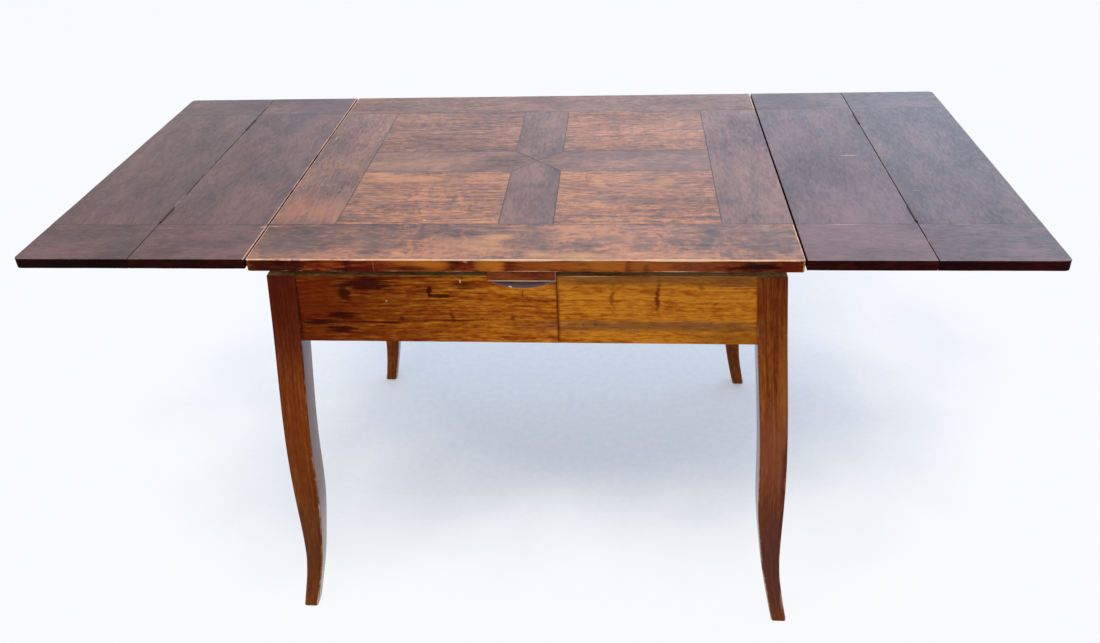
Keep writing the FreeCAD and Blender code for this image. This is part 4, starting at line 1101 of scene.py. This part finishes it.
class Workshop:
    """Makes boards, hands out each finish's material once and books each piece with the frame."""

    def __init__(self, frame: dict) -> None:
        """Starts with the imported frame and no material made."""
        self.frame = frame
        self.made: dict[Finish, bpy.types.Material] = {}
        self.count = 0

    def material(self, finish: Finish) -> bpy.types.Material:
        """The finish's material, made the first time that it is asked for."""
        if finish not in self.made:
            self.made[finish] = finish.value.make()
        return self.made[finish]

    def redress(self, finish: Finish, nodes: Iterable[str]) -> None:
        """Gives nodes of the frame a finish on each of their slots.

        Args:
            finish: the finish.
            nodes: the nodes' names.
        """
        for node in nodes:
            piece = self.frame["nodes"][node]
            if not piece.data.materials:
                piece.data.materials.append(None)
            for slot in piece.material_slots:
                slot.material = self.material(finish)

    def book(self, piece: Piece, body: str, node: str, slot: str, finishes: Iterable[Finish]) -> None:
        """Dresses a new piece, and ties it to its body in the place of a node.

        Args:
            piece: the piece.
            body: the body that it rides on.
            node: the node that it stands for.
            slot: the record's slot; not used.
            finishes: a finish for each slot that its faces use.
        """
        for finish in finishes:
            piece.data.materials.append(self.material(finish))
        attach(piece, body)
        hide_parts(node)
        self.count += 1
        LOG.info("%s rides on %s, %d points", piece.name, body, len(piece.data.vertices))

    def board(self, node: str, body: str, stock: Stock, corners: list[Pair], edges: list[Edge],
              grain: Grain, tone: float, rounding: Sequence[float] = (), cuts: Sequence[Box] = ()) -> None:
        """Makes, carves, dresses and books one board.

        Args:
            node: the node that it stands for.
            body: the body that it rides on.
            stock: what it shares with its kind.
            corners: its outline, anticlockwise.
            edges: how each side is eased.
            grain: which way its fibres run.
            tone: how much lighter or darker it is than its finish.
            rounding: each corner's radius, where they aren't all sharp.
            cuts: recesses to carve.
        """
        seed = seed_of(node)
        ring = ring_of(corners, edges, rounding or [0] * len(corners), seed)
        piece = plank(f"{node}_wood", stock.plane, ring, stock.faces, stock.flat)
        if cuts:
            carve(piece, cuts)
        grain.lay(piece, seed, tone)
        self.book(piece, body, node, stock.slot, stock.finishes)


# ---- the top


@dataclass
class PanelledTop:
    """The loose top: two rails, two stiles, four pointed bars that meet in the middle, and four panels."""

    shop: Workshop
    half_length: float = 420.0
    front: float = -345.0
    back: float = 345.0
    rail_front: float = -233.0
    rail_rear: float = 253.0
    field_end: float = 310.0
    half_bar: float = 44.0
    middle: float = 10.0
    faces: Pair = (739.0, 760.0)
    corner: float = 4.0
    closing: float = 0.05
    point_gap: float = 0.07

    def build(self) -> None:
        """Makes all twelve boards of the top."""
        self.rails()
        self.bars()
        self.panels()

    def board(self, name: str, corners: list[Pair], edges: list[Edge], grain: Grain, tone: float,
              finish: Finish, rounding: Sequence[float] = ()) -> None:
        """Makes one board of the top.

        Args:
            name: its node's name after top_.
            corners: its outline, anticlockwise.
            edges: how each side is eased.
            grain: which way its fibres run.
            tone: how much lighter or darker it is than its finish.
            finish: the finish of its upper face.
            rounding: each corner's radius, where they aren't all sharp.
        """
        slot = "panel_wood" if finish is Finish.PANEL else "top_wood"
        stock = Stock(slot, Plane.LEVEL, self.faces, (finish, Finish.TOP_EDGE, Finish.UNDER))
        self.shop.board(f"top_{name}", "top", stock, corners, edges, grain, tone, rounding)

    def rails(self) -> None:
        """The two long rails and the two stiles between them."""
        end, gap, turn = self.half_length, self.closing, self.corner
        self.board("front_rail", rectangle((-end, end), (self.front, self.rail_front - gap)),
                   [WORN, WORN, JOINT, WORN], Grain.ALONG_X, 0.04, Finish.RAIL, (turn, turn, 0, 0))
        self.board("rear_rail", rectangle((-end, end), (self.rail_rear + gap, self.back)),
                   [JOINT, WORN, EASED, WORN], Grain.ALONG_X, 0.08, Finish.STILE, (0, 0, turn, turn))
        start, y = self.field_end + gap, (self.rail_front + gap, self.rail_rear - gap)
        self.board("left_stile", rectangle((-end, -start), y), [JOINT, JOINT, JOINT, WORN],
                   Grain.ALONG_Y, -0.06, Finish.STILE)
        self.board("right_stile", rectangle((start, end), y), [JOINT, EASED, JOINT, JOINT],
                   Grain.ALONG_Y, 0.12, Finish.BAR)

    def bars(self) -> None:
        """Two mullions and two centre rails, whose square points meet in the middle of the top."""
        half, gap, mid, end = self.half_bar, self.closing, self.middle, self.field_end - self.closing
        near, far = mid - half, mid + half
        low, high = self.rail_front + gap, self.rail_rear - gap
        tip = self.point_gap
        front = [(-half, low), (half, low), (half, near - gap), (0, mid - tip), (-half, near - gap)]
        rear = [(half, high), (-half, high), (-half, far + gap), (0, mid + tip), (half, far + gap)]
        right = [(tip, mid), (half + gap, near), (end, near), (end, far), (half + gap, far)]
        left = [(-x, y) for x, y in right[::-1]]
        tight = [JOINT] * 5
        self.board("mullion_front", front, tight, Grain.ALONG_Y, -0.04, Finish.BAR)
        self.board("mullion_rear", rear, tight, Grain.ALONG_Y, 0.0, Finish.BAR)
        self.board("centre_rail_right", right, tight, Grain.ALONG_X, -0.06, Finish.STILE)
        self.board("centre_rail_left", left, tight, Grain.ALONG_X, -0.02, Finish.STILE)

    def panels(self) -> None:
        """The four panels, level with the frame."""
        gap = self.closing
        near, far = self.half_bar + gap, self.field_end - gap
        left, right = (-far, -near), (near, far)
        front = (self.rail_front + gap, self.middle - near)
        rear = (self.middle + near, self.rail_rear - gap)
        for name, x, y, tone in (("front_left", left, front, 0.0), ("front_right", right, front, 0.03),
                                 ("rear_left", left, rear, -0.14), ("rear_right", right, rear, -0.02)):
            self.board(f"panel_{name}", rectangle(x, y), [JOINT] * 4, Grain.ALONG_X, tone, Finish.PANEL)


# ---- the leaves


@dataclass
class Leaf:
    """A leaf at one end: an inner and an outer half, each a board with an end piece at its front and rear."""

    shop: Workshop
    side: str
    sign: int
    inner: Pair = (422.5, 607.5)
    outer: Pair = (608.5, 793.5)
    ends: tuple[float, float, float, float] = (-345.0, -233.0, 253.0, 345.0)
    faces: Pair = (743.0, 760.0)
    corner: float = 9.0
    station: float = 200.0
    plate_half: float = 25.0
    slot_half: float = 25.3
    plate_up: Pair = (745.3, 758.3)
    seam: float = 608.0
    plate_room: float = 1.5
    plate_overlap: float = 0.5
    knuckle_room: float = 2.0
    above: float = 3.0
    closing: float = 0.05
    inner_tone: float = 0.04
    outer_tone: float = -0.02

    def build(self) -> None:
        """Makes both halves and finishes the lopers, hinges and screws."""
        self.half("inner", f"{self.side}_leaf", self.inner, self.inner_tone)
        self.half("outer", f"{self.side}_flap", self.outer, self.outer_tone)
        for finish, names in ((Finish.BEECH, ("front_loper", "rear_loper", "loper_stops")),
                              (Finish.STEEL, ("leaf_screws", "flap_screws")),
                              (Finish.BRASS, ("hinge_plates_inner", "hinge_plates_outer", "hinge_pins"))):
            self.shop.redress(finish, (f"{self.side}_{name}" for name in names))

    def half(self, half: str, body: str, reach: Pair, tone: float) -> None:
        """One half: its board, carved for the hinges, and its two end pieces.

        Args:
            half: inner or outer.
            body: the body that it rides on.
            reach: where it starts and ends on the right side of the table.
            tone: how much lighter or darker it is than its finish.
        """
        x = reach if self.sign > 0 else mirrored(reach)
        away = WORN if half == "inner" and self.sign < 0 else EASED
        right, left = (SEAM, away) if (half == "inner") == (self.sign > 0) else (away, SEAM)
        turn = self.corner if half == "outer" else 0
        front, rail_front, rail_rear, back = self.ends
        gap = self.closing
        stock = Stock("leaf_wood", Plane.LEVEL, self.faces, (Finish.LEAF, Finish.LEAF_EDGE, Finish.UNDER))
        outlines = (("board", (rail_front + gap, rail_rear - gap), Grain.ALONG_Y, FAINT, FAINT, ()),
                    ("front_end", (front, rail_front - gap), Grain.ALONG_X, EASED, FAINT,
                     (0, turn, 0, 0) if self.sign > 0 else (turn, 0, 0, 0)),
                    ("rear_end", (rail_rear + gap, back), Grain.ALONG_X, FAINT, EASED,
                     (0, 0, turn, 0) if self.sign > 0 else (0, 0, 0, turn)))
        for name, y, grain, low, high, rounding in outlines:
            self.shop.board(f"{self.side}_leaf_{half}_{name}", body, stock, rectangle(x, y),
                            [low, right, high, left], grain, tone, rounding,
                            self.recesses() if name == "board" else ())

    def recesses(self) -> list[Box]:
        """Pockets for the hinge plates, and room above them for the knuckles, on both sides of the seam."""
        x, (low, high) = self.sign * self.seam, self.plate_up
        found = []
        for y in (-self.station, self.station):
            for room, half, z in ((self.plate_room, self.plate_half, (low, high + self.plate_overlap)),
                                  (self.knuckle_room, self.slot_half, (high, self.faces[1] + self.above))):
                found.append(((x - room, y - half, z[0]), (x + room, y + half, z[1])))
        return found


# ---- the underframe

LEG_CORNERS = np.array(((1, 1), (-1, 1), (-1, -1), (1, -1)), float)
ARC_WEAR = (0.55, 0.9, 1.0, 1.0, 0.9, 0.55, 0.0)  # over a leg's arris and the middle of the flat after it
CORNERS = [(row, side) for row in ("front", "rear") for side in ("left", "right")]
SIGNS = {"front": -1, "rear": 1, "left": -1, "right": 1}


@dataclass
class Underframe:
    """Four curved legs, five aprons and the parts inside: blocks, bolts, bearer, guides and batten.

    Each section of a leg is its height, its width and how far its outer corner stands out. The easing, the
    arris radius and the rub each go by height.
    """

    shop: Workshop
    leg_x: float = 401.0
    leg_y: float = 325.0
    half_leg: float = 23.0
    lean: float = 35.0 / 51.0
    long_faces: Pair = (301.5, 323.5)
    end_faces: Pair = (377.5, 399.5)
    low: float = 594.0
    high: float = 719.0
    notch: float = 53.4
    notch_low: float = 709.0
    recess_half: float = 50.0
    recess_deep: float = 12.0
    butt: float = 53.6
    left_lane: float = 180.0
    right_lane: float = 140.0
    lane_half: float = 12.5
    lane_low: float = 680.96
    shoulder: float = 355.5
    haunch: float = 2.0
    apron_flat: float = 0.4
    sections: tuple[Point, ...] = (
        (0, 26.5, 51), (55, 27.5, 40.5), (110, 30, 32.5), (165, 34.5, 29.5), (240, 42, 28.5),
        (360, 45, 25.5), (480, 45.5, 18), (600, 46, 8.5), (719, 46, 0))
    easing: tuple[Pair, ...] = (
        (0, 2.6), (0.6, 1.4), (1.6, 0.6), (3.2, 0.15), (5, 0), (717.9, 0), (718.7, 0.2), (719, 0.5))
    arris: tuple[Pair, ...] = ((0, 3.2), (80, 2.6), (600, 2.0), (719, 1.2))
    rub: tuple[Pair, ...] = ((0, 0.95), (30, 0.72), (120, 0.56), (500, 0.42), (719, 0.3))
    foot_rub: float = 0.5
    inner_rub: float = 1.2
    outer_rub: float = 0.85
    leg_tone: float = 0.05

    def build(self) -> None:
        """Makes the legs and aprons and finishes the parts inside."""
        for row, side in CORNERS:
            self.leg(f"leg_{row}_{side}", SIGNS[side], SIGNS[row])
        self.front_aprons()
        self.rear_apron()
        self.end_apron("left", -1)
        self.end_apron("right", 1)
        blocks = (f"corner_block_{row}_{side}" for row, side in CORNERS)
        inside = ("splice_block", "centre_bearer", "loper_guides", "top_pegs")
        self.shop.redress(Finish.BEECH, (*inside, *blocks))
        self.shop.redress(Finish.BATTEN, ["top_batten"])
        self.shop.redress(Finish.STEEL, ["corner_bolts", "batten_screws"])

    def leg(self, node: str, sign: int, back: int) -> None:
        """A leg: a square with eased corners carried up a curve.

        At the height z the square's side is w(z) and its outer corner stands at leg + out(z), both natural
        cubics through the sections. A point of its outline is corner (w / 2 - ease - r) + push r, where r is
        the arris radius.

        Args:
            node: the leg's name.
            sign: which end of the table, -1 or 1.
            back: which long side, -1 at the front and 1 at the back.
        """
        heights, widths, outs = np.array(self.sections, float).T
        eased = [height for height, _ in self.easing]
        up = np.sort(np.concatenate((eased, np.linspace(8.0, 714.0, 116))))[::-1]
        width, out = spline(heights, widths, up), spline(heights, outs, up)
        arris = np.interp(up, *zip(*self.arris))
        reach = width / 2 - np.interp(up, *zip(*self.easing)) - arris
        corner, push = self.outline()
        centre = np.stack((sign * (self.leg_x + out - width / 2),
                           back * (self.leg_y + out * self.lean - width / 2), 0 * up), axis=1)
        points = np.empty((len(up), len(push), 3))
        points[..., :2] = corner * reach[:, None, None] + push * arris[:, None, None]
        points[..., 2] = up[:, None]
        points += centre[:, None]
        piece = self.swept(f"{node}_wood", points, sign)
        put(piece, "wear", self.rubbed(up, sign, back))
        put(piece, "grime", np.zeros(points.size // 3))
        middle = np.repeat(centre, len(push), axis=0) * MM
        Grain.ALONG_Z.lay(piece, seed_of(node), self.leg_tone * sign, middle)
        self.shop.book(piece, "frame", node, "leg_wood", (Finish.LEG, Finish.DUSTY_AND_SHEEN, Finish.LEG_SIDE))

    @staticmethod
    def outline() -> tuple[np.ndarray, np.ndarray]:
        """Seven points for each corner of a leg: six on its arc, and the middle of the flat after it.

        Returns:
            Each point's corner and its push, (28, 2). The push is (cos t, sin t) on an arc, and a flat's
            middle is both its own corner and its own push.
        """
        turns = np.linspace(0, math.pi / 2, 6) + np.arange(4)[:, None] * math.pi / 2
        arcs = np.stack((np.cos(turns), np.sin(turns)), axis=-1)
        flats = (LEG_CORNERS + np.roll(LEG_CORNERS, -1, axis=0))[:, None] / 2
        corner = np.concatenate((np.repeat(LEG_CORNERS[:, None], 6, axis=1), flats), axis=1)
        return corner.reshape(-1, 2), np.concatenate((arcs, flats), axis=1).reshape(-1, 2)

    @staticmethod
    def swept(name: str, points: np.ndarray, sign: int) -> Piece:
        """Joins a leg's outlines into one solid.

        Args:
            name: the piece's name.
            points: the outlines from the top down, (rings, around, 3).
            sign: which end of the table, -1 or 1.

        Returns:
            The leg, with slot 1 on its top, 2 on the flat that faces its neighbour at the same long side,
            and 0 elsewhere.
        """
        rings, around, _ = points.shape
        total = rings * around
        spot = np.arange(around)
        side = (spot // 7 == (3 if sign < 0 else 1)) & (spot % 7 > 4)
        slots = [1, *np.tile(np.where(side, 2, 0), rings - 1).tolist(), 0]
        base = list(range(total - 1, total - around - 1, -1))
        faces = [list(range(around)), *walls(rings, around).tolist(), base]
        return mesh_piece(name, points.reshape(-1, 3), faces, slots)

    def rubbed(self, up: np.ndarray, sign: int, back: int) -> np.ndarray:
        """How rubbed a leg is: mostly on its arrises, more on one of them and at its foot.

        Args:
            up: the outlines' heights, from the top down.
            sign: which end of the table, -1 or 1.
            back: which long side, -1 at the front and 1 at the back.

        Returns:
            The wear at each point.
        """
        inner = (LEG_CORNERS == (-sign, back)).all(axis=1)
        shares = np.outer(np.where(inner, self.inner_rub, self.outer_rub), ARC_WEAR)
        rub = np.outer(np.interp(up, *zip(*self.rub)), shares)
        rub[-2:] += self.foot_rub
        return rub.ravel()

    def apron(self, name: str, plane: Plane, corners: list[Pair], edges: list[Edge], faces: Pair,
              tone: float = 0.0) -> None:
        """Makes one apron, with its fibres along it.

        Args:
            name: its node's name after apron_.
            plane: the plane that its outline is drawn on.
            corners: its outline, anticlockwise.
            edges: how each side is eased.
            faces: where its two faces lie.
            tone: how much lighter or darker it is than its finish.
        """
        grain = Grain.ALONG_Y if plane is Plane.SIDE else Grain.ALONG_X
        stock = Stock("apron_wood", plane, faces, (Finish.APRON, Finish.DUSTY_AND_SHEEN, Finish.APRON), self.apron_flat)
        self.shop.board(f"apron_{name}", "frame", stock, corners, edges, grain, tone)

    def recess(self) -> list[Pair]:
        """The arc under the batten, right to left: x = R sin t and z = the low point + R (1 - cos t)."""
        radius = (self.recess_half**2 + self.recess_deep**2) / (2 * self.recess_deep)
        low = self.notch_low - self.recess_deep
        turn = math.asin(self.recess_half / radius)
        turns = np.linspace(turn, -turn, 25)
        return [(radius * math.sin(t), low + radius * (1 - math.cos(t))) for t in turns]

    def front_aprons(self) -> None:
        """The two front boards, which butt at the right of the batten. The left one is notched for it."""
        end, drop, arc = self.leg_x - self.half_leg, self.high - self.haunch, self.recess()
        left = [(-end, self.low), (self.notch, self.low), (self.notch, self.notch_low), *arc,
                (-self.notch, self.notch_low), (-self.notch, self.high), (-self.shoulder, self.high),
                (-self.shoulder, drop), (-end, drop)]
        edges = [EASED, JOINT, EASED] + [EASED] * len(arc) + [EASED, EASED, JOINT, JOINT, JOINT]
        self.apron("front_left", Plane.FRONT, left, edges, self.long_faces, 0.1)
        right = [(self.butt, self.low), (end, self.low), (end, drop), (self.shoulder, drop),
                 (self.shoulder, self.high), (self.butt, self.high)]
        edges = [EASED, JOINT, JOINT, JOINT, EASED, JOINT]
        self.apron("front_right", Plane.FRONT, right, edges, self.long_faces, 0.27)

    def rear_apron(self) -> None:
        """The rear board, notched for the batten's other end."""
        end, drop = self.leg_x - self.half_leg, self.high - self.haunch
        right = [(end, self.low), (end, drop), (self.shoulder, drop), (self.shoulder, self.high),
                 (self.notch, self.high), (self.notch, self.notch_low)]
        corners = [*right, *[(-x, z) for x, z in right[::-1]]]
        edges = [JOINT] * 3 + [EASED] * 5 + [JOINT] * 3 + [EASED]
        self.apron("rear", Plane.FRONT, corners, edges, mirrored(self.long_faces))

    def end_apron(self, side: str, sign: int) -> None:
        """An end board with its two open notches for the lopers.

        Args:
            side: left or right.
            sign: which end of the table, -1 or 1.
        """
        end, drop = self.leg_y - self.half_leg, self.high - self.haunch
        lane = self.right_lane if sign > 0 else self.left_lane
        shoulder = self.shoulder + self.leg_y - self.leg_x
        inside, outside = lane - self.lane_half, lane + self.lane_half
        back = [(end, self.low), (end, drop), (shoulder, drop), (shoulder, self.high), (outside, self.high),
                (outside, self.lane_low), (inside, self.lane_low), (inside, self.high)]
        corners = [*back, *[(-y, z) for y, z in back[::-1]]]
        edges = [JOINT] * 3 + [EASED] * 9 + [JOINT] * 3 + [EASED]
        faces = self.end_faces if sign > 0 else mirrored(self.end_faces)
        self.apron(f"end_{side}", Plane.SIDE, corners, edges, faces)


# ---- the room, the lamps and the camera


def stand(thing: Piece, right: np.ndarray, over: np.ndarray, back: np.ndarray, at: Point) -> None:
    """Puts a lamp or the camera in its place.

    Args:
        thing: the lamp or camera, which looks away from back.
        right: its own X axis.
        over: its own Y axis.
        back: its own Z axis.
        at: where it stands, in metres.
    """
    turn = np.eye(4)
    turn[:3] = np.stack((right, over, back, at), axis=1)
    thing.matrix_world = Matrix(turn.tolist())
    bpy.context.scene.collection.objects.link(thing)


@dataclass
class Studio:
    """A pale floor that fades to white, soft lamps, and the camera. Places are in metres."""

    floor_reach: float = 14000.0
    floor_drop: float = -0.02
    shade_at: Point = (0.0, 0.42, 0.0)
    shade_scale: Point = (0.8, 1.15, 0.0)
    shade_cloud: Noise = Noise((1.4, 1.4, 1.4), 3.0)
    grit: Noise = Noise((60.0, 60.0, 60.0), 5.0, 0.7)
    aim: Point = (0.0, 0.0, 0.6)
    camera_at: Point = (0.15644, -1.51613, 1.45369)
    yaw: float = -0.09152
    pitch: float = 0.50097
    roll: float = -0.04451
    lens: float = 30.105
    shift: float = -0.08252
    gloss_left: Point = (0.64, 0.61, 0.63)
    gloss_right: Point = (0.99, 1.2, 1.5)
    room_light: Point = (0.95, 0.975, 1.0)
    room_strength: float = 0.62

    def build(self) -> None:
        """Sets up the floor, the world, the lamps and the camera."""
        self.floor()
        self.world()
        self.lamp("key", (-1.6, -2.4, 3.0), 2.6, 46.0, (1.0, 0.985, 0.96))
        self.lamp("over", (0.4, 0.6, 3.2), 3.0, 40.0, (0.96, 0.98, 1.0))
        self.camera()

    def floor(self) -> None:
        """A level sheet: a pale matt surface that the camera sees fade to white away from the table."""
        reach = (-self.floor_reach, self.floor_reach)
        corners = np.array([(x, y, self.floor_drop) for x, y in rectangle(reach, reach)])
        piece = mesh_piece("studio_floor", corners, [[0, 1, 2, 3]], [0])
        tree = Tree(bpy.data.materials.new("pale_floor"))
        table = tree.place()
        away = ((table - self.shade_at) * self.shade_scale).then("LENGTH")
        away = away + (tree.noise(table, self.shade_cloud) - 0.5) * 0.8
        tint = tree.ramp(tree.noise(table, self.grit), (0xC6DAF8, 0xD8E6FC), 0.3, 0.7)
        matt = tree.flow("BsdfDiffuse", {"Color": tint})
        glow = tree.flow("Emission", {"Color": (0.98, 0.99, 1.0), "Strength": 1.0})
        share = tree.seen() * (tree.step(away, 0.3, 0.95) * 0.64 + 0.28)
        tree.end(tree.flow("MixShader", {0: share, 1: matt, 2: glow}))
        piece.data.materials.append(tree.owner)
        piece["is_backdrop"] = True

    def world(self) -> None:
        """Soft light from all round, and a white backdrop that a gloss shows tinted from left to right."""
        world = bpy.data.worlds.new("soft_room")
        bpy.context.scene.world = world
        tree = Tree(world)
        soft = tree.flow("Background", {"Color": self.room_light, "Strength": self.room_strength})
        across = tree.flow("SeparateXYZ", {0: tree.flow("TexCoord", {}, "Generated")})
        tint = tree.mix(tree.step(across, -0.5, 0.35, "LINEAR"), self.gloss_left, self.gloss_right)
        backdrop = tree.mix(tree.flow("LightPath", {}, "Is Glossy Ray"), (1.0, 1.0, 1.0), tint)
        white = tree.flow("Background", {"Color": backdrop, "Strength": 1.0})
        tree.end(tree.flow("MixShader", {0: tree.seen(), 1: soft, 2: white}))

    def lamp(self, name: str, at: Point, size: float, power: float, colour: Point) -> None:
        """A square area lamp that points at the table's middle.

        Args:
            name: the lamp's name.
            at: where it hangs.
            size: its side.
            power: its watts.
            colour: its light.
        """
        data = bpy.data.lights.new(name, "AREA")
        data.shape = "SQUARE"
        data.size = size
        data.energy = power
        data.color = colour
        back = unit(np.array(at) - np.array(self.aim))
        right = unit(np.cross((0.0, 0.0, 1.0), back))
        stand(bpy.data.objects.new(name, data), right, np.cross(back, right), back, at)

    def camera(self) -> None:
        """The camera: it looks along its yaw and pitch, with a slight roll and the frame shifted down."""
        sin_yaw, cos_yaw = math.sin(self.yaw), math.cos(self.yaw)
        sin_pitch, cos_pitch = math.sin(self.pitch), math.cos(self.pitch)
        sin_roll, cos_roll = math.sin(self.roll), math.cos(self.roll)
        ahead = np.array((sin_yaw * cos_pitch, cos_yaw * cos_pitch, -sin_pitch))
        right = np.array((cos_yaw, -sin_yaw, 0.0))
        over = np.cross(right, ahead)
        data = bpy.data.cameras.new("camera")
        data.lens = self.lens
        data.sensor_width = 36.0
        data.sensor_fit = "HORIZONTAL"
        data.shift_y = self.shift
        camera = bpy.data.objects.new("camera", data)
        rolled, upright = cos_roll * right + sin_roll * over, cos_roll * over - sin_roll * right
        stand(camera, rolled, upright, -ahead, self.camera_at)
        bpy.context.scene.camera = camera


def plain(box: Sequence[Sequence[float]]) -> list[list[float]]:
    """A box's corners as plain lists of numbers."""
    return [[float(value) for value in corner] for corner in box]


def main() -> None:
    """Loads the frame, builds each group of pieces in order and works out both boxes."""
    logging.basicConfig(level=logging.INFO, format="%(name)s: %(message)s")
    shop = Workshop(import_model())
    packed = plain(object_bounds())
    bpy.context.scene.view_settings.view_transform = "Standard"
    Studio().build()
    PanelledTop(shop).build()
    Leaf(shop, "left", -1).build()
    Leaf(shop, "right", 1).build()
    Underframe(shop).build()
    LOG.info("%d pieces booked", shop.count)
    {"cad": packed, "visual": plain(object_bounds())}


if __name__ == "__main__":
    main()
